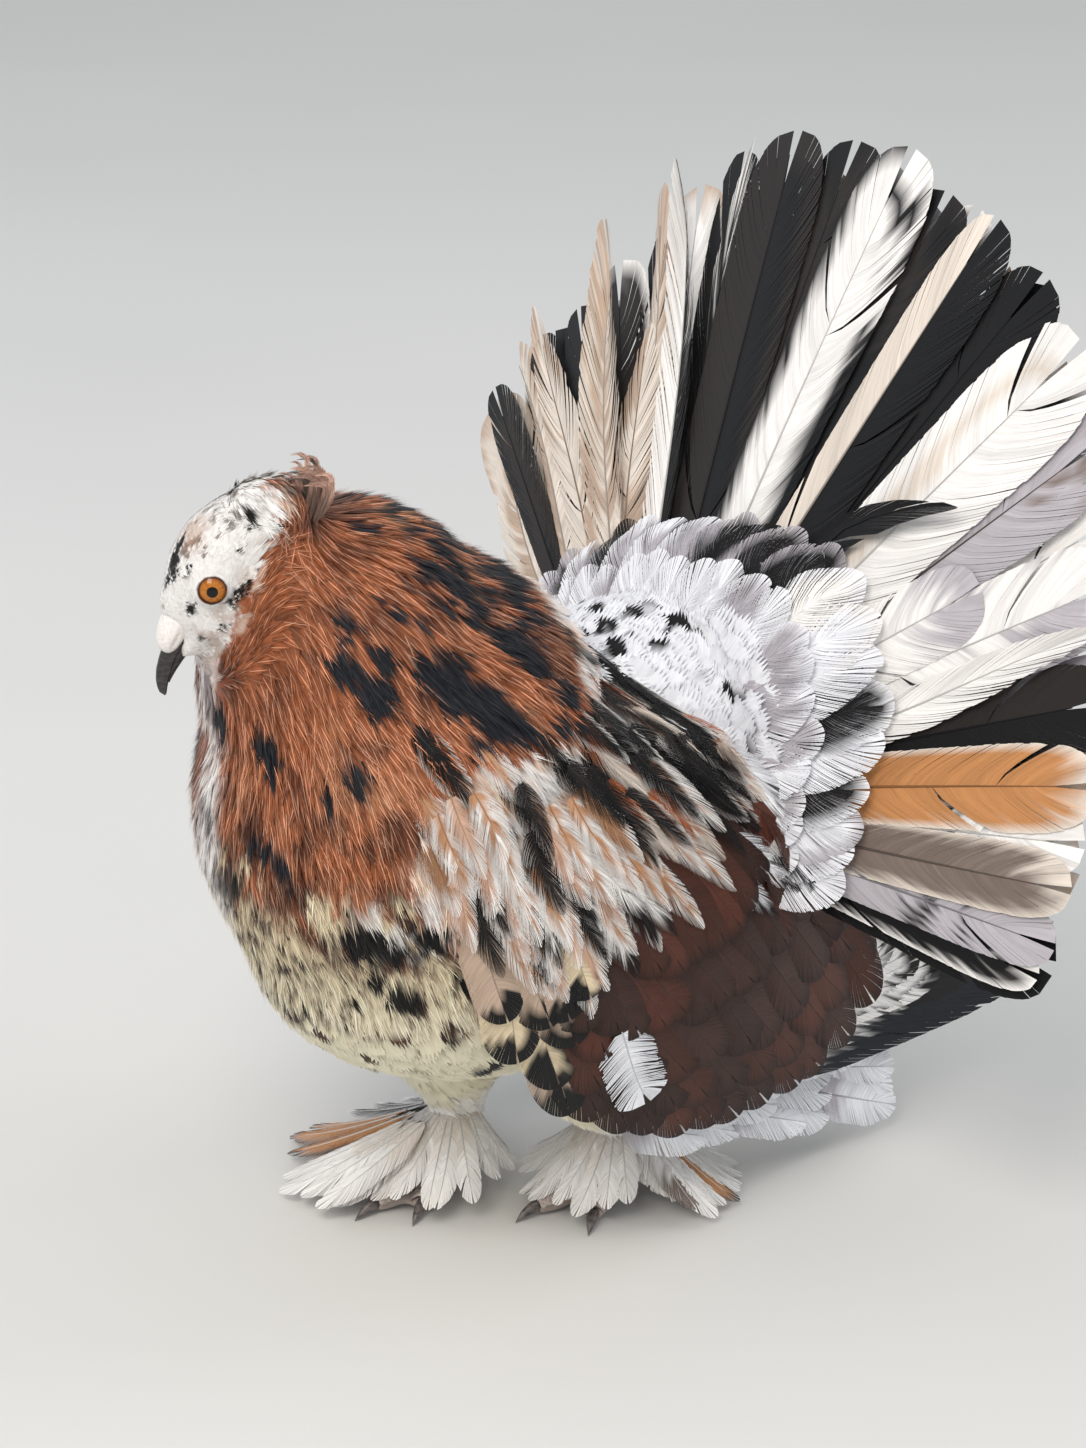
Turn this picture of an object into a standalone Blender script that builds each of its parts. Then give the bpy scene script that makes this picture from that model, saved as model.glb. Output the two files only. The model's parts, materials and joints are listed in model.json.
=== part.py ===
"""A fantail pigeon standing with its tail fanned, life size, as a still display model.

The bird faces -Y and its left side is +X. The floor is z = 0. Lengths in this file are millimetres,
and MM turns them to Blender's metres. Each solid's outside is the outline of the coat over it, and
the small feathers themselves aren't modelled.
"""

import math

import bmesh
import bpy
from mathutils import Matrix, Vector
from mathutils.bvhtree import BVHTree

MM = 0.001
GAP = 0.35                      # clearance between neighbouring solids

# The whole bird is set over the origin, so that its box is centred on it.
ORIGIN_SHIFT = Vector((-7.73, -46.115, 0.0))

# Trunk and neck, as overlapping ovals: centre, half-sizes and nose-down tilt in degrees
HACKLE = ((-3, -46, 190), (43, 45, 47), 0)
MANTLE = ((0, -24, 156), (56, 58, 62), 0)
BREAST = ((0, -35, 145), (56, 57, 64), 0)
BELLY = ((0, 2, 104), (58, 80, 52), 0)
RUMP = ((0, 54, 135), (50, 46, 48), 0)
VENT = ((0, 60, 94), (42, 50, 40), 0)
BODY_VOXEL = 4.0
BODY_TRIANGLES = 1060
NECK_PLANE_POINT = Vector((0, -20, 206))
NECK_PLANE_NORMAL = Vector((0, -0.6, 0.8))

# Head: the midpoint between the eyes, where it faces, and its ovals in its own axes (forward, left, up)
HEAD_CENTRE = Vector((-8.6, -86.1, 221.2))
HEAD_YAW = 30                   # turned to the bird's right
HEAD_PITCH = 52                 # bill down
SKULL = ((-6, 0, 0), (20.5, 13.8, 14))
FOREHEAD = ((8, 0, -1), (11.5, 9, 10.5))
CHEEKS = ((3, 0, -7), (16.5, 12.2, 10.8))
NAPE = ((-19, 0, -4), (15, 14, 13.5))
HEAD_VOXEL = 1.8
HEAD_TRIANGLES = 400
EYE_SIDE = 12.0
EYE_RADIUS = 5.2
BILL_ROOT = 13.0
BILL_TIP = 35.0
BILL_DROP = 7.2
CERE = ((18.2, 1.5, -1.4), (5.6, 3.0, 3.4))
CREST_ROOT = (-33, 0, -11)
CREST_HEIGHT = 13

# Tail fan: its hub, how far it leans back, how far its sides sweep back, and its feathers
FAN_HUB = Vector((0, 57, 121))
FAN_LEAN = 18.4
FAN_SWEEP = 9.2
FAN_FROM, FAN_TO = -2, 145      # degrees from the bird's left round over the top
FAN_FEATHERS = 30
FAN_TOP_RADIUS = 205
FAN_SIDE_RADIUS = 152
FAN_ROOT_RADIUS = 60
FAN_WORN = 10                   # how much shorter the frayed feathers on the bird's right are
FEATHER_TIP_DEPTH = 9
COVERT_RADIUS = 80
COVERT_FLARE = 18               # how much further the coverts reach on the bird's left
COVERT_DEPTH = 20

# Wings: the folded coverts and secondaries, then the two groups of flight feathers under them
WING_FRONT = Vector((52, -44, 138))
WING_MIDDLE = Vector((66, 18, 101))
WING_REAR = Vector((54, 98, 62))
WING_HALF_BREADTH = 50
WING_THICKNESS = 7.0

# The flight feathers under the wing, and the long feathers behind the thigh, on the bird's left side
PRIMARIES = {
    "root": Vector((53, 62, 58)),
    "tip": Vector((45, 192, 46)),
    "root_half": 15,
    "tip_half": 6.5,
    "thick": 4.5,
}
HOCK_FEATHERS = {
    "root": Vector((47, 32, 46)),
    "tip": Vector((40, 128, 19)),
    "root_half": 14,
    "tip_half": 10,
    "thick": 5,
}

# Feet: where each foot's toes meet, and the way it points
FOOT_LEFT = Vector((15, 35, 0))
FOOT_RIGHT = Vector((-19, -1, 0))
FOOT_LEFT_HEADING = 6
FOOT_RIGHT_HEADING = 2
TOE_LENGTHS = {"inner": 20, "middle": 28, "outer": 22, "hind": 14}
TOE_ANGLES = {"inner": 32, "middle": 0, "outer": -44, "hind": 184}
CLAW_LENGTH = 8.0

# Which way each foot's feathers spread, in degrees to the bird's right, and how far
MUFF = {
    "right": {"turn": 66, "half_spread": 62, "reach": 57},
    "left": {"turn": -136, "half_spread": 44, "reach": 38},
}

SIDES = {"left": 1, "right": -1}

COLOURS = {
    "rust_plumage": ((0.36, 0.13, 0.05), 0.75),
    "white_plumage": ((0.80, 0.79, 0.76), 0.75),
    "cream_plumage": ((0.72, 0.64, 0.48), 0.75),
    "brown_plumage": ((0.07, 0.025, 0.015), 0.65),
    "black_plumage": ((0.02, 0.02, 0.022), 0.6),
    "bill_horn": ((0.05, 0.05, 0.055), 0.35),
    "cere_skin": ((0.80, 0.76, 0.72), 0.6),
    "eye_orange": ((0.45, 0.16, 0.02), 0.1),
    "toe_skin": ((0.62, 0.50, 0.46), 0.6),
    "claw_horn": ((0.10, 0.09, 0.09), 0.4),
}


def clear_scene():
    for old in list(bpy.data.objects):
        bpy.data.objects.remove(old)


def material(name):
    """The Principled material of that name, made once."""
    found = bpy.data.materials.get(name)
    if found:
        return found
    made = bpy.data.materials.new(name)
    made.use_nodes = True
    colour, roughness = COLOURS[name]
    shader = made.node_tree.nodes["Principled BSDF"]
    shader.inputs["Base Color"].default_value = (*colour, 1)
    shader.inputs["Roughness"].default_value = roughness
    made.diffuse_color = (*colour, 1)
    return made


def add_object(name, mesh, colour):
    made = bpy.data.objects.new(name, mesh)
    bpy.context.scene.collection.objects.link(made)
    mesh.materials.clear()
    mesh.materials.append(material(colour))
    return made


def mesh_from(bm):
    bmesh.ops.recalc_face_normals(bm, faces=bm.faces)
    mesh = bpy.data.meshes.new("shape")
    bm.to_mesh(mesh)
    bm.free()
    return mesh


def oval(bm, centre, radii, tilt=0, frame=None, segments=28, rings=16):
    """Adds an oval to bm, tilted nose down in degrees, or set in the axes of frame."""
    turn = frame or Matrix.Rotation(math.radians(tilt), 4, "X")
    place = Matrix.Translation(Vector(centre)) if frame is None else frame @ Matrix.Translation(Vector(centre))
    sizes = Matrix.Diagonal((*radii, 1))
    spin = turn if frame is None else Matrix.Identity(4)
    bmesh.ops.create_uvsphere(bm, u_segments=segments, v_segments=rings, radius=1, matrix=place @ spin @ sizes)


def evaluated_mesh(holder):
    graph = bpy.context.evaluated_depsgraph_get()
    return bpy.data.meshes.new_from_object(holder.evaluated_get(graph))


def apply_modifiers(holder):
    """Turns what the object's modifiers make into its mesh."""
    mesh = evaluated_mesh(holder)
    holder.modifiers.clear()
    holder.data = mesh


def moulded(name, bm, voxel, triangles, colour, smoothing=12):
    """One smooth closed body from the overlapping ovals in bm."""
    made = add_object(name, mesh_from(bm), colour)
    remesh = made.modifiers.new("join", "REMESH")
    remesh.mode = "VOXEL"
    remesh.voxel_size = voxel
    smooth = made.modifiers.new("smooth", "SMOOTH")
    smooth.factor = 0.5
    smooth.iterations = smoothing
    apply_modifiers(made)
    made.data.calc_loop_triangles()
    thin = made.modifiers.new("thin", "DECIMATE")
    thin.ratio = min(1.0, triangles / len(made.data.loop_triangles))
    apply_modifiers(made)
    return made


AS_SHAPED = {}


def remember_shapes():
    """Keeps each solid's shape from before any cut, for cutting its neighbours."""
    for node in bpy.data.objects:
        AS_SHAPED.setdefault(node.name, node.data.copy())


def keep_main_body(holder):
    """Drops every loose part of the mesh but the largest."""
    bm = bmesh.new()
    bm.from_mesh(holder.data)
    left, bodies = set(bm.verts), []
    while left:
        stack, body = [left.pop()], []
        while stack:
            vert = stack.pop()
            body.append(vert)
            for edge in vert.link_edges:
                other = edge.other_vert(vert)
                if other in left:
                    left.remove(other)
                    stack.append(other)
        bodies.append(body)
    bodies.sort(key=len)
    for body in bodies[:-1]:
        bmesh.ops.delete(bm, geom=body, context="VERTS")
    bmesh.ops.remove_doubles(bm, verts=bm.verts, dist=0.006)
    bmesh.ops.dissolve_degenerate(bm, edges=bm.edges, dist=0.006)
    bmesh.ops.triangulate(bm, faces=bm.faces)
    bm.to_mesh(holder.data)
    bm.free()


def cut_by(holder, *others, grow=GAP):
    """Cuts the other solids, as first shaped, out of this one, with a clearance all round them."""
    for other in others:
        bm = bmesh.new()
        bm.from_mesh(AS_SHAPED.get(other.name, other.data))
        bmesh.ops.triangulate(bm, faces=bm.faces)
        bm.normal_update()
        for vert in bm.verts:
            vert.co += vert.normal * grow
        cutter = add_object("cutter", mesh_from(bm), "white_plumage")
        cut = holder.modifiers.new("cut", "BOOLEAN")
        cut.operation = "DIFFERENCE"
        cut.object = cutter
        apply_modifiers(holder)
        bpy.data.objects.remove(cutter)
    keep_main_body(holder)


def joined(name, pieces, colour):
    """One body from overlapping objects, which it uses up."""
    first = pieces[0]
    for other in pieces[1:]:
        union = first.modifiers.new("union", "BOOLEAN")
        union.operation = "UNION"
        union.object = other
        apply_modifiers(first)
        bpy.data.objects.remove(other)
    first.name = name
    first.data.materials.clear()
    first.data.materials.append(material(colour))
    return first


def slab(name, front, back, colour):
    """A closed solid between two grids of points with the same rows and columns."""
    bm = bmesh.new()
    sides = [[[bm.verts.new(p) for p in row] for row in grid] for grid in (front, back)]
    rows, columns = len(front), len(front[0])
    for grid in sides:
        for i in range(rows - 1):
            for j in range(columns - 1):
                bm.faces.new((grid[i][j], grid[i + 1][j], grid[i + 1][j + 1], grid[i][j + 1]))
    rim = [(i, 0) for i in range(rows)] + [(rows - 1, j) for j in range(1, columns)]
    rim += [(i, columns - 1) for i in range(rows - 2, -1, -1)] + [(0, j) for j in range(columns - 2, 0, -1)]
    for (i, j), (k, m) in zip(rim, rim[1:] + rim[:1]):
        bm.faces.new((sides[0][i][j], sides[0][k][m], sides[1][k][m], sides[1][i][j]))
    return add_object(name, mesh_from(bm), colour)


def tube(name, path, radii, colour, sides=10, floor=None, flatten=1.0):
    """A tapered round body along a path. Its underside is flattened at the floor height, if there is one."""
    bm = bmesh.new()
    rings = []
    for i, (centre, radius) in enumerate(zip(path, radii)):
        ahead = path[min(i + 1, len(path) - 1)] - path[max(i - 1, 0)]
        across = ahead.cross(Vector((0, 0, 1)))
        across = across.normalized() if across.length > 1e-6 else Vector((1, 0, 0))
        up = across.cross(ahead).normalized()
        ring = []
        for k in range(sides):
            angle = 2 * math.pi * (k + 0.5) / sides
            point = centre + across * (math.cos(angle) * radius) + up * (math.sin(angle) * radius * flatten)
            if floor is not None:
                point.z = max(point.z, floor)
            ring.append(bm.verts.new(point))
        rings.append(ring)
    for lower, upper in zip(rings, rings[1:]):
        for k in range(sides):
            bm.faces.new((lower[k], lower[(k + 1) % sides], upper[(k + 1) % sides], upper[k]))
    bm.faces.new(rings[0][::-1])
    bm.faces.new(rings[-1])
    return add_object(name, mesh_from(bm), colour)


def blend(a, b, t):
    return a + (b - a) * t


def curve_point(a, b, c, t):
    """A point on the smooth curve that starts at a, passes b half-way and ends at c."""
    pull = b * 2 - (a + c) * 0.5
    return a * (1 - t) ** 2 + pull * (2 * t * (1 - t)) + c * t * t


def mirrored(vector, side):
    """The vector on the bird's left for side 1, and on its right for side -1."""
    return Vector((vector.x * side, vector.y, vector.z))


def head_axes():
    """The head's frame: forward along the bill, left, and up through the crown."""
    yaw, pitch = math.radians(HEAD_YAW), math.radians(HEAD_PITCH)
    ahead = Vector((-math.sin(yaw) * math.cos(pitch), -math.cos(yaw) * math.cos(pitch), -math.sin(pitch)))
    left = Vector((math.cos(yaw), -math.sin(yaw), 0))
    up = ahead.cross(left)
    turn = Matrix((ahead, left, up)).transposed().to_4x4()
    return Matrix.Translation(HEAD_CENTRE) @ turn


def build_body():
    """The trunk and the neck, moulded whole and parted by one thin flat cut."""
    bm = bmesh.new()
    for centre, radii, tilt in (HACKLE, MANTLE, BREAST, BELLY, RUMP, VENT):
        oval(bm, centre, radii, tilt)
    head = head_axes()
    throat_low, throat_high = Vector((-4, -52, 190)), head @ Vector((-16, 0, -4))
    for step in range(5):
        share = step / 4
        radius = 38 - 23 * share
        oval(bm, blend(throat_low, throat_high, share), (radius,) * 3)
    trunk = moulded("trunk", bm, BODY_VOXEL, BODY_TRIANGLES, "cream_plumage")
    neck = add_object("neck", trunk.data.copy(), "rust_plumage")
    normal = NECK_PLANE_NORMAL.normalized()
    for part, side in ((trunk, -1), (neck, 1)):
        bm = bmesh.new()
        bm.from_mesh(part.data)
        plane = NECK_PLANE_POINT + normal * (GAP / 2 * side)
        found = bmesh.ops.bisect_plane(
            bm,
            geom=bm.verts[:] + bm.edges[:] + bm.faces[:],
            dist=0.001,
            plane_co=plane,
            plane_no=normal,
            clear_outer=side < 0,
            clear_inner=side > 0,
        )
        rim = [g for g in found["geom_cut"] if isinstance(g, bmesh.types.BMEdge)]
        bmesh.ops.contextual_create(bm, geom=rim)
        bmesh.ops.triangulate(bm, faces=bm.faces)
        bmesh.ops.recalc_face_normals(bm, faces=bm.faces)
        bm.to_mesh(part.data)
        bm.free()
    return trunk, neck


def build_head():
    """The head with its eyes, cere and bill, and the little crest behind the crown."""
    frame = head_axes()
    bm = bmesh.new()
    for centre, radii in (SKULL, FOREHEAD, CHEEKS, NAPE):
        oval(bm, centre, radii, frame=frame, segments=24, rings=14)
    head = moulded("head", bm, HEAD_VOXEL, HEAD_TRIANGLES, "white_plumage", smoothing=6)
    for name, side in (("eye_left", 1), ("eye_right", -1)):
        bm = bmesh.new()
        oval(bm, (0, EYE_SIDE * side - side * EYE_RADIUS * 0.42, 0), (EYE_RADIUS,) * 3, frame=frame, segments=12, rings=6)
        add_object(name, mesh_from(bm), "eye_orange")
    build_bill(frame)
    build_cere(frame)
    build_crest(frame)


def build_bill(frame):
    """Upper and lower halves of the bill, tapering and drooping to the tip."""
    for name, height, width, depth, tip in (
        ("bill_upper", -2.0, 3.5, 2.6, BILL_TIP),
        ("bill_lower", -6.2, 2.9, 1.6, BILL_TIP - 3.5),
    ):
        path, radii = [], []
        for step in range(8):
            share = step / 7
            ahead = blend(BILL_ROOT, tip, share)
            drop = BILL_DROP * share ** 2.4 if name == "bill_upper" else 2.6 * share ** 1.5
            path.append(frame @ Vector((ahead, 0, height - drop)))
            radii.append(width * (1 - share ** 2.4) + 0.45)
        tube(name, path, radii, "bill_horn", sides=10, flatten=depth / width)


def build_cere(frame):
    """The pale swelling over the nostrils, at the root of the upper bill."""
    centre, radii = CERE
    bm = bmesh.new()
    for side in (-1, 1):
        oval(bm, (centre[0], side * centre[1], centre[2]), radii, frame=frame, segments=18, rings=12)
    moulded("cere", bm, 0.7, 180, "cere_skin", smoothing=4)


def build_crest(frame):
    """A short tuft that stands up behind the crown and curls forward."""
    root = frame @ Vector(CREST_ROOT)
    ahead = frame.to_3x3() @ Vector((1, 0, 0))
    ahead.z = 0
    path, radii = [], []
    for step in range(6):
        share = step / 5
        path.append(root + Vector((0, 0, CREST_HEIGHT * (share - 0.3))) + ahead * (4 * share ** 2 - 1))
        radii.append(6.5 - 2.2 * share)
    tube("crest", path, radii, "rust_plumage", sides=12, flatten=1.1)


def fan_direction(angle):
    """Unit vector along the fan at this angle, in degrees from the bird's left round over its back."""
    lean, sweep, turn = math.radians(FAN_LEAN), math.radians(FAN_SWEEP), math.radians(angle)
    up = Vector((0, math.sin(lean), math.cos(lean)))
    behind = Vector((0, math.cos(lean), -math.sin(lean)))
    flat = Vector((math.cos(turn), 0, 0)) + up * math.sin(turn)
    return flat * math.cos(sweep) + behind * math.sin(sweep)


def fan_normal(angle):
    """Unit normal of the fan's front face at this angle."""
    step = fan_direction(angle + 1) - fan_direction(angle - 1)
    normal = step.cross(fan_direction(angle)).normalized()
    return normal if normal.y < 0 else -normal


def fan_radius(angle):
    """How far the feathers reach at this angle."""
    reach = FAN_TOP_RADIUS + (FAN_SIDE_RADIUS - FAN_TOP_RADIUS) * math.cos(math.radians(angle)) ** 2
    return reach - FAN_WORN * math.exp(-(((angle - 128) / 10) ** 2))


def fan_point(angle, radius, offset):
    return FAN_HUB + fan_direction(angle) * radius + fan_normal(angle) * offset


def build_fan():
    """The tail feathers as one thin dish with a scalloped edge and a step where each overlaps the next."""
    per_feather = 3
    count = FAN_FEATHERS * per_feather
    spread = FAN_TO - FAN_FROM
    front, back = [], []
    for i in range(count + 1):
        angle = FAN_FROM + spread * i / count
        within = (i % per_feather) / per_feather
        tip = fan_radius(angle) - (FEATHER_TIP_DEPTH if within == 0 else 0)
        step = 1.0 * (within - 0.33)
        line_front, line_back = [], []
        for share in (0, 0.6, 1):
            radius = blend(FAN_ROOT_RADIUS, tip, share)
            thick = 2.0 - 1.0 * share
            lift = step * share
            line_front.append(fan_point(angle, radius, lift + thick / 2))
            line_back.append(fan_point(angle, radius, lift - thick / 2))
        front.append(line_front)
        back.append(line_back)
    return slab("tail_fan", front, back, "black_plumage")


def build_coverts(name, angles, radius, depth, side, colour):
    """Soft feathers over the roots of the fan, in front of it for side 1 and behind it for side -1."""
    columns, rows = 15, 4
    front, back = [], []
    for i in range(columns + 1):
        angle = blend(angles[0], angles[1], i / columns)
        end = math.sin(math.pi * min(max(i / columns, 0.03), 0.97)) ** 0.35
        flare = COVERT_FLARE * math.exp(-(((angle - 52) / 30) ** 2))
        line_front, line_back = [], []
        for j in range(rows):
            share = j / (rows - 1)
            reach = blend(10, radius + flare + 2.0 * math.sin(i * 2.1), share)
            bulge = 3 + depth * end * math.sqrt(max(0.0, 1 - share ** 2.4))
            line_front.append(fan_point(angle, reach, side * (2.2 + bulge)))
            line_back.append(fan_point(angle, reach, side * 2.2))
        front.append(line_front)
        back.append(line_back)
    return slab(name, front, back, colour)


def build_wing(side, word):
    """The folded wing: a thick curved shield of coverts and secondaries."""
    columns, rows = 12, 6
    front, rear = mirrored(WING_FRONT, side), mirrored(WING_REAR, side)
    middle = mirrored(WING_MIDDLE, side)
    outward = Vector((side, 0, 0))
    outer, inner = [], []
    for i in range(columns + 1):
        share = i / columns
        centre = curve_point(front, middle, rear, share)
        ahead = (curve_point(front, middle, rear, share + 0.02) - curve_point(front, middle, rear, share - 0.02)).normalized()
        across = outward.cross(ahead).normalized() * side
        across = across if across.z > 0 else -across
        breadth = WING_HALF_BREADTH * (math.sin(math.pi * (0.04 + 0.88 * share)) ** 0.58)
        line_outer, line_inner = [], []
        for j in range(rows + 1):
            t = -1 + 2 * j / rows
            drop = 13 * t * t * (breadth / WING_HALF_BREADTH) ** 2
            tuck = outward * (-drop if t > 0 else -drop * 0.9)
            point = centre + across * (breadth * t) + tuck
            thick = 1.6 + WING_THICKNESS * (1 - t * t) * math.sin(math.pi * min(0.95, 0.08 + share)) ** 0.5
            line_outer.append(point + outward * thick * 0.5)
            line_inner.append(point - outward * thick * 0.5)
        outer.append(line_outer)
        inner.append(line_inner)
    return slab(f"wing_{word}", outer, inner, "brown_plumage")


def build_blade(name, shape, side, colour):
    """A flat stack of long feathers that reaches back from the body to its tip."""
    columns, rows = 6, 3
    root, tip = mirrored(shape["root"], side), mirrored(shape["tip"], side)
    outward = Vector((side, 0, 0))
    outer, inner = [], []
    for i in range(columns + 1):
        share = i / columns
        centre = blend(root, tip, share)
        round_end = math.sqrt(max(0.04, 1 - max(0.0, (share - 0.8) / 0.2) ** 2))
        half = blend(shape["root_half"], shape["tip_half"], share) * round_end
        line_outer, line_inner = [], []
        for j in range(rows):
            t = -1 + 2 * j / (rows - 1)
            point = centre + Vector((0, 0, half * t)) - outward * (3 * t)
            offset = outward * (shape["thick"] / 2 * (1.2 - 0.5 * share))
            line_outer.append(point + offset)
            line_inner.append(point - offset)
        outer.append(line_outer)
        inner.append(line_inner)
    return slab(name, outer, inner, colour)


def foot_frame(word):
    """Side, place and heading of a foot."""
    if word == "left":
        return SIDES[word], FOOT_LEFT, FOOT_LEFT_HEADING
    return SIDES[word], FOOT_RIGHT, FOOT_RIGHT_HEADING


def floor_direction(degrees):
    """Unit vector on the floor, 0 straight ahead and positive to the bird's right."""
    turn = math.radians(degrees)
    return Vector((-math.sin(turn), -math.cos(turn), 0))


def build_leg(word):
    """Thigh, shank, foot, claws and the feathered muff of one leg."""
    side, place, heading = foot_frame(word)
    ankle = place + Vector((0, 6, 17))
    knee = Vector((side * 24, place.y * 0.5 + 8, 58))
    bm = bmesh.new()
    oval(bm, blend(ankle, knee, 0.92), (21, 26, 24), 20)
    oval(bm, blend(ankle, knee, 0.52), (13, 16, 15), 20)
    moulded(f"thigh_{word}", bm, 3.0, 130, "cream_plumage", smoothing=6)
    shank = [blend(ankle, knee, s) for s in (-0.02, 0.2, 0.45, 0.7)]
    tube(f"shank_{word}", shank, (8.5, 7.5, 8.5, 9), "white_plumage", sides=9)
    toes = []
    for toe, length in TOE_LENGTHS.items():
        away = floor_direction(heading + TOE_ANGLES[toe] * side)
        steps = [0, 0.33, 0.66, 1]
        heights = [9.0, 6.2, 3.4, 2.6]
        path = [place + away * (length * s - 2) + Vector((0, 0, h)) for s, h in zip(steps, heights)]
        toes.append(tube(f"toe_{toe}", path, [5.0, 4.6, 4.2, 3.4], "toe_skin", sides=6, floor=0.0))
        tip = path[-1]
        curve = [tip + away * (CLAW_LENGTH * s - 1.0) + Vector((0, 0, 0.8 - 3.4 * s * s)) for s in (0, 0.35, 0.7, 1)]
        tube(f"claw_{word}_{toe}", curve, [2.2, 1.9, 1.3, 0.5], "claw_horn", sides=6, floor=0.15)
    hub = tube("hub", [place + Vector((0, 2, 7)), ankle + Vector((0, 0, -3))], [7.5, 7.0], "toe_skin", sides=8, floor=0.0)
    joined(f"foot_{word}", [hub, *toes], "toe_skin")
    build_muff(word, place)


def build_muff(word, place):
    """The fan of long feathers that grows from the outer side of the foot and lies on the floor."""
    columns, rows = 12, 4
    upper, lower = [], []
    middle, half_spread = MUFF[word]["turn"], MUFF[word]["half_spread"]
    for i in range(columns + 1):
        share = i / columns
        angle = middle + half_spread * (2 * share - 1)
        away = floor_direction(angle)
        reach = MUFF[word]["reach"] * (0.88 + 0.12 * math.sin(math.pi * share)) - 3.0 * (i % 2)
        line_upper, line_lower = [], []
        for j in range(rows + 1):
            t = j / rows
            distance = blend(8, reach, t)
            height = 3.0 + 26 * (1 - t) ** 1.1
            point = place + Vector((0, 5, 0)) + away * distance
            line_upper.append(point + Vector((0, 0, height + 1.6)))
            line_lower.append(point + Vector((0, 0, max(0.0, height - 3.6))))
        upper.append(line_upper)
        lower.append(line_lower)
    slab(f"muff_{word}", upper, lower, "white_plumage")


def part_the_solids():
    """Each solid gives way to those it meets that matter more."""
    node = bpy.data.objects
    claws = {word: [f"claw_{word}_{toe}" for toe in TOE_LENGTHS] for word in SIDES}
    gives_way = {
        "cere": ["bill_upper"],
        "bill_lower": ["bill_upper"],
        "head": ["eye_left", "eye_right", "bill_upper", "bill_lower", "cere"],
        "neck": ["head", "eye_left", "eye_right", "bill_lower"],
        "crest": ["head", "neck"],
        "tail_coverts": ["trunk", "wing_left", "wing_right"],
        "undertail_coverts": ["trunk", "wing_left", "wing_right"],
    }
    trunk = ["head"]
    for word in SIDES:
        gives_way[f"wing_{word}"] = ["neck", "tail_fan"]
        gives_way[f"thigh_{word}"] = [f"shank_{word}", f"wing_{word}"]
        gives_way[f"foot_{word}"] = [f"shank_{word}", *claws[word]]
        gives_way[f"muff_{word}"] = [f"foot_{word}", f"shank_{word}", f"thigh_{word}", *claws[word]]
        trunk += [f"wing_{word}", f"thigh_{word}", f"shank_{word}"]
        for blade in ("primaries", "hock_feathers"):
            gives_way[f"{blade}_{word}"] = [f"wing_{word}", "trunk", f"thigh_{word}"]
    gives_way["trunk"] = trunk
    for name, others in gives_way.items():
        cut_by(node[name], *[node[other] for other in others])


def carrier(name):
    """The node that carries this one, or nothing for the trunk."""
    if name in ("eye_left", "eye_right", "bill_upper", "bill_lower", "cere"):
        return "head"
    if name in ("head", "crest"):
        return "neck"
    word = "left" if "left" in name else "right"
    if name.startswith(("claw", "muff")):
        return f"foot_{word}"
    if name.startswith("foot"):
        return f"shank_{word}"
    if name.startswith(("shank", "hock_feathers")):
        return f"thigh_{word}"
    if name.startswith("primaries"):
        return f"wing_{word}"
    return None if name == "trunk" else "trunk"


def place_nodes():
    """Gives each node its own origin, its place, and the node that carries it, in metres."""
    nodes = list(bpy.data.objects)
    holder = bpy.data.objects.new("pigeon", None)
    bpy.context.scene.collection.objects.link(holder)
    places = {}
    for node in nodes:
        corners = [Vector(corner) for corner in node.bound_box]
        places[node.name] = (corners[0] + corners[6]) / 2
        node.data.transform(Matrix.Scale(MM, 4) @ Matrix.Translation(-places[node.name]))
        node.data.shade_smooth()
        node.data.set_sharp_from_angle(angle=math.radians(40))
    for node in nodes:
        parent = carrier(node.name)
        node.parent = bpy.data.objects[parent] if parent else holder
        start = places[parent] if parent else -ORIGIN_SHIFT
        node.location = (places[node.name] - start) * MM


def main():
    clear_scene()
    build_body()
    build_head()
    build_fan()
    build_coverts("tail_coverts", (FAN_FROM - 4, FAN_TO + 4), COVERT_RADIUS, COVERT_DEPTH, 1, "white_plumage")
    build_coverts("undertail_coverts", (FAN_FROM, FAN_TO), COVERT_RADIUS - 14, 12, -1, "white_plumage")
    for word, side in SIDES.items():
        build_wing(side, word)
        build_blade(f"primaries_{word}", PRIMARIES, side, "black_plumage")
        build_blade(f"hock_feathers_{word}", HOCK_FEATHERS, side, "white_plumage")
        build_leg(word)
    remember_shapes()
    part_the_solids()
    place_nodes()


main()
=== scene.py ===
"""Looks of a fantail pigeon standing with its tail fanned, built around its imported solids.

The file is laid out as an add-on and run as a script. Shapes are worked out in millimetres in the frame
that the solids were drawn in, where the bird faces -Y and its left side is +X, and to_model() moves them
into the model's own frame in metres.
"""

import json
import math

import bmesh
import bpy
import numpy as np
from bpy.props import FloatProperty, FloatVectorProperty, PointerProperty
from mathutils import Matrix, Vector
from mathutils.bvhtree import BVHTree

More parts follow.
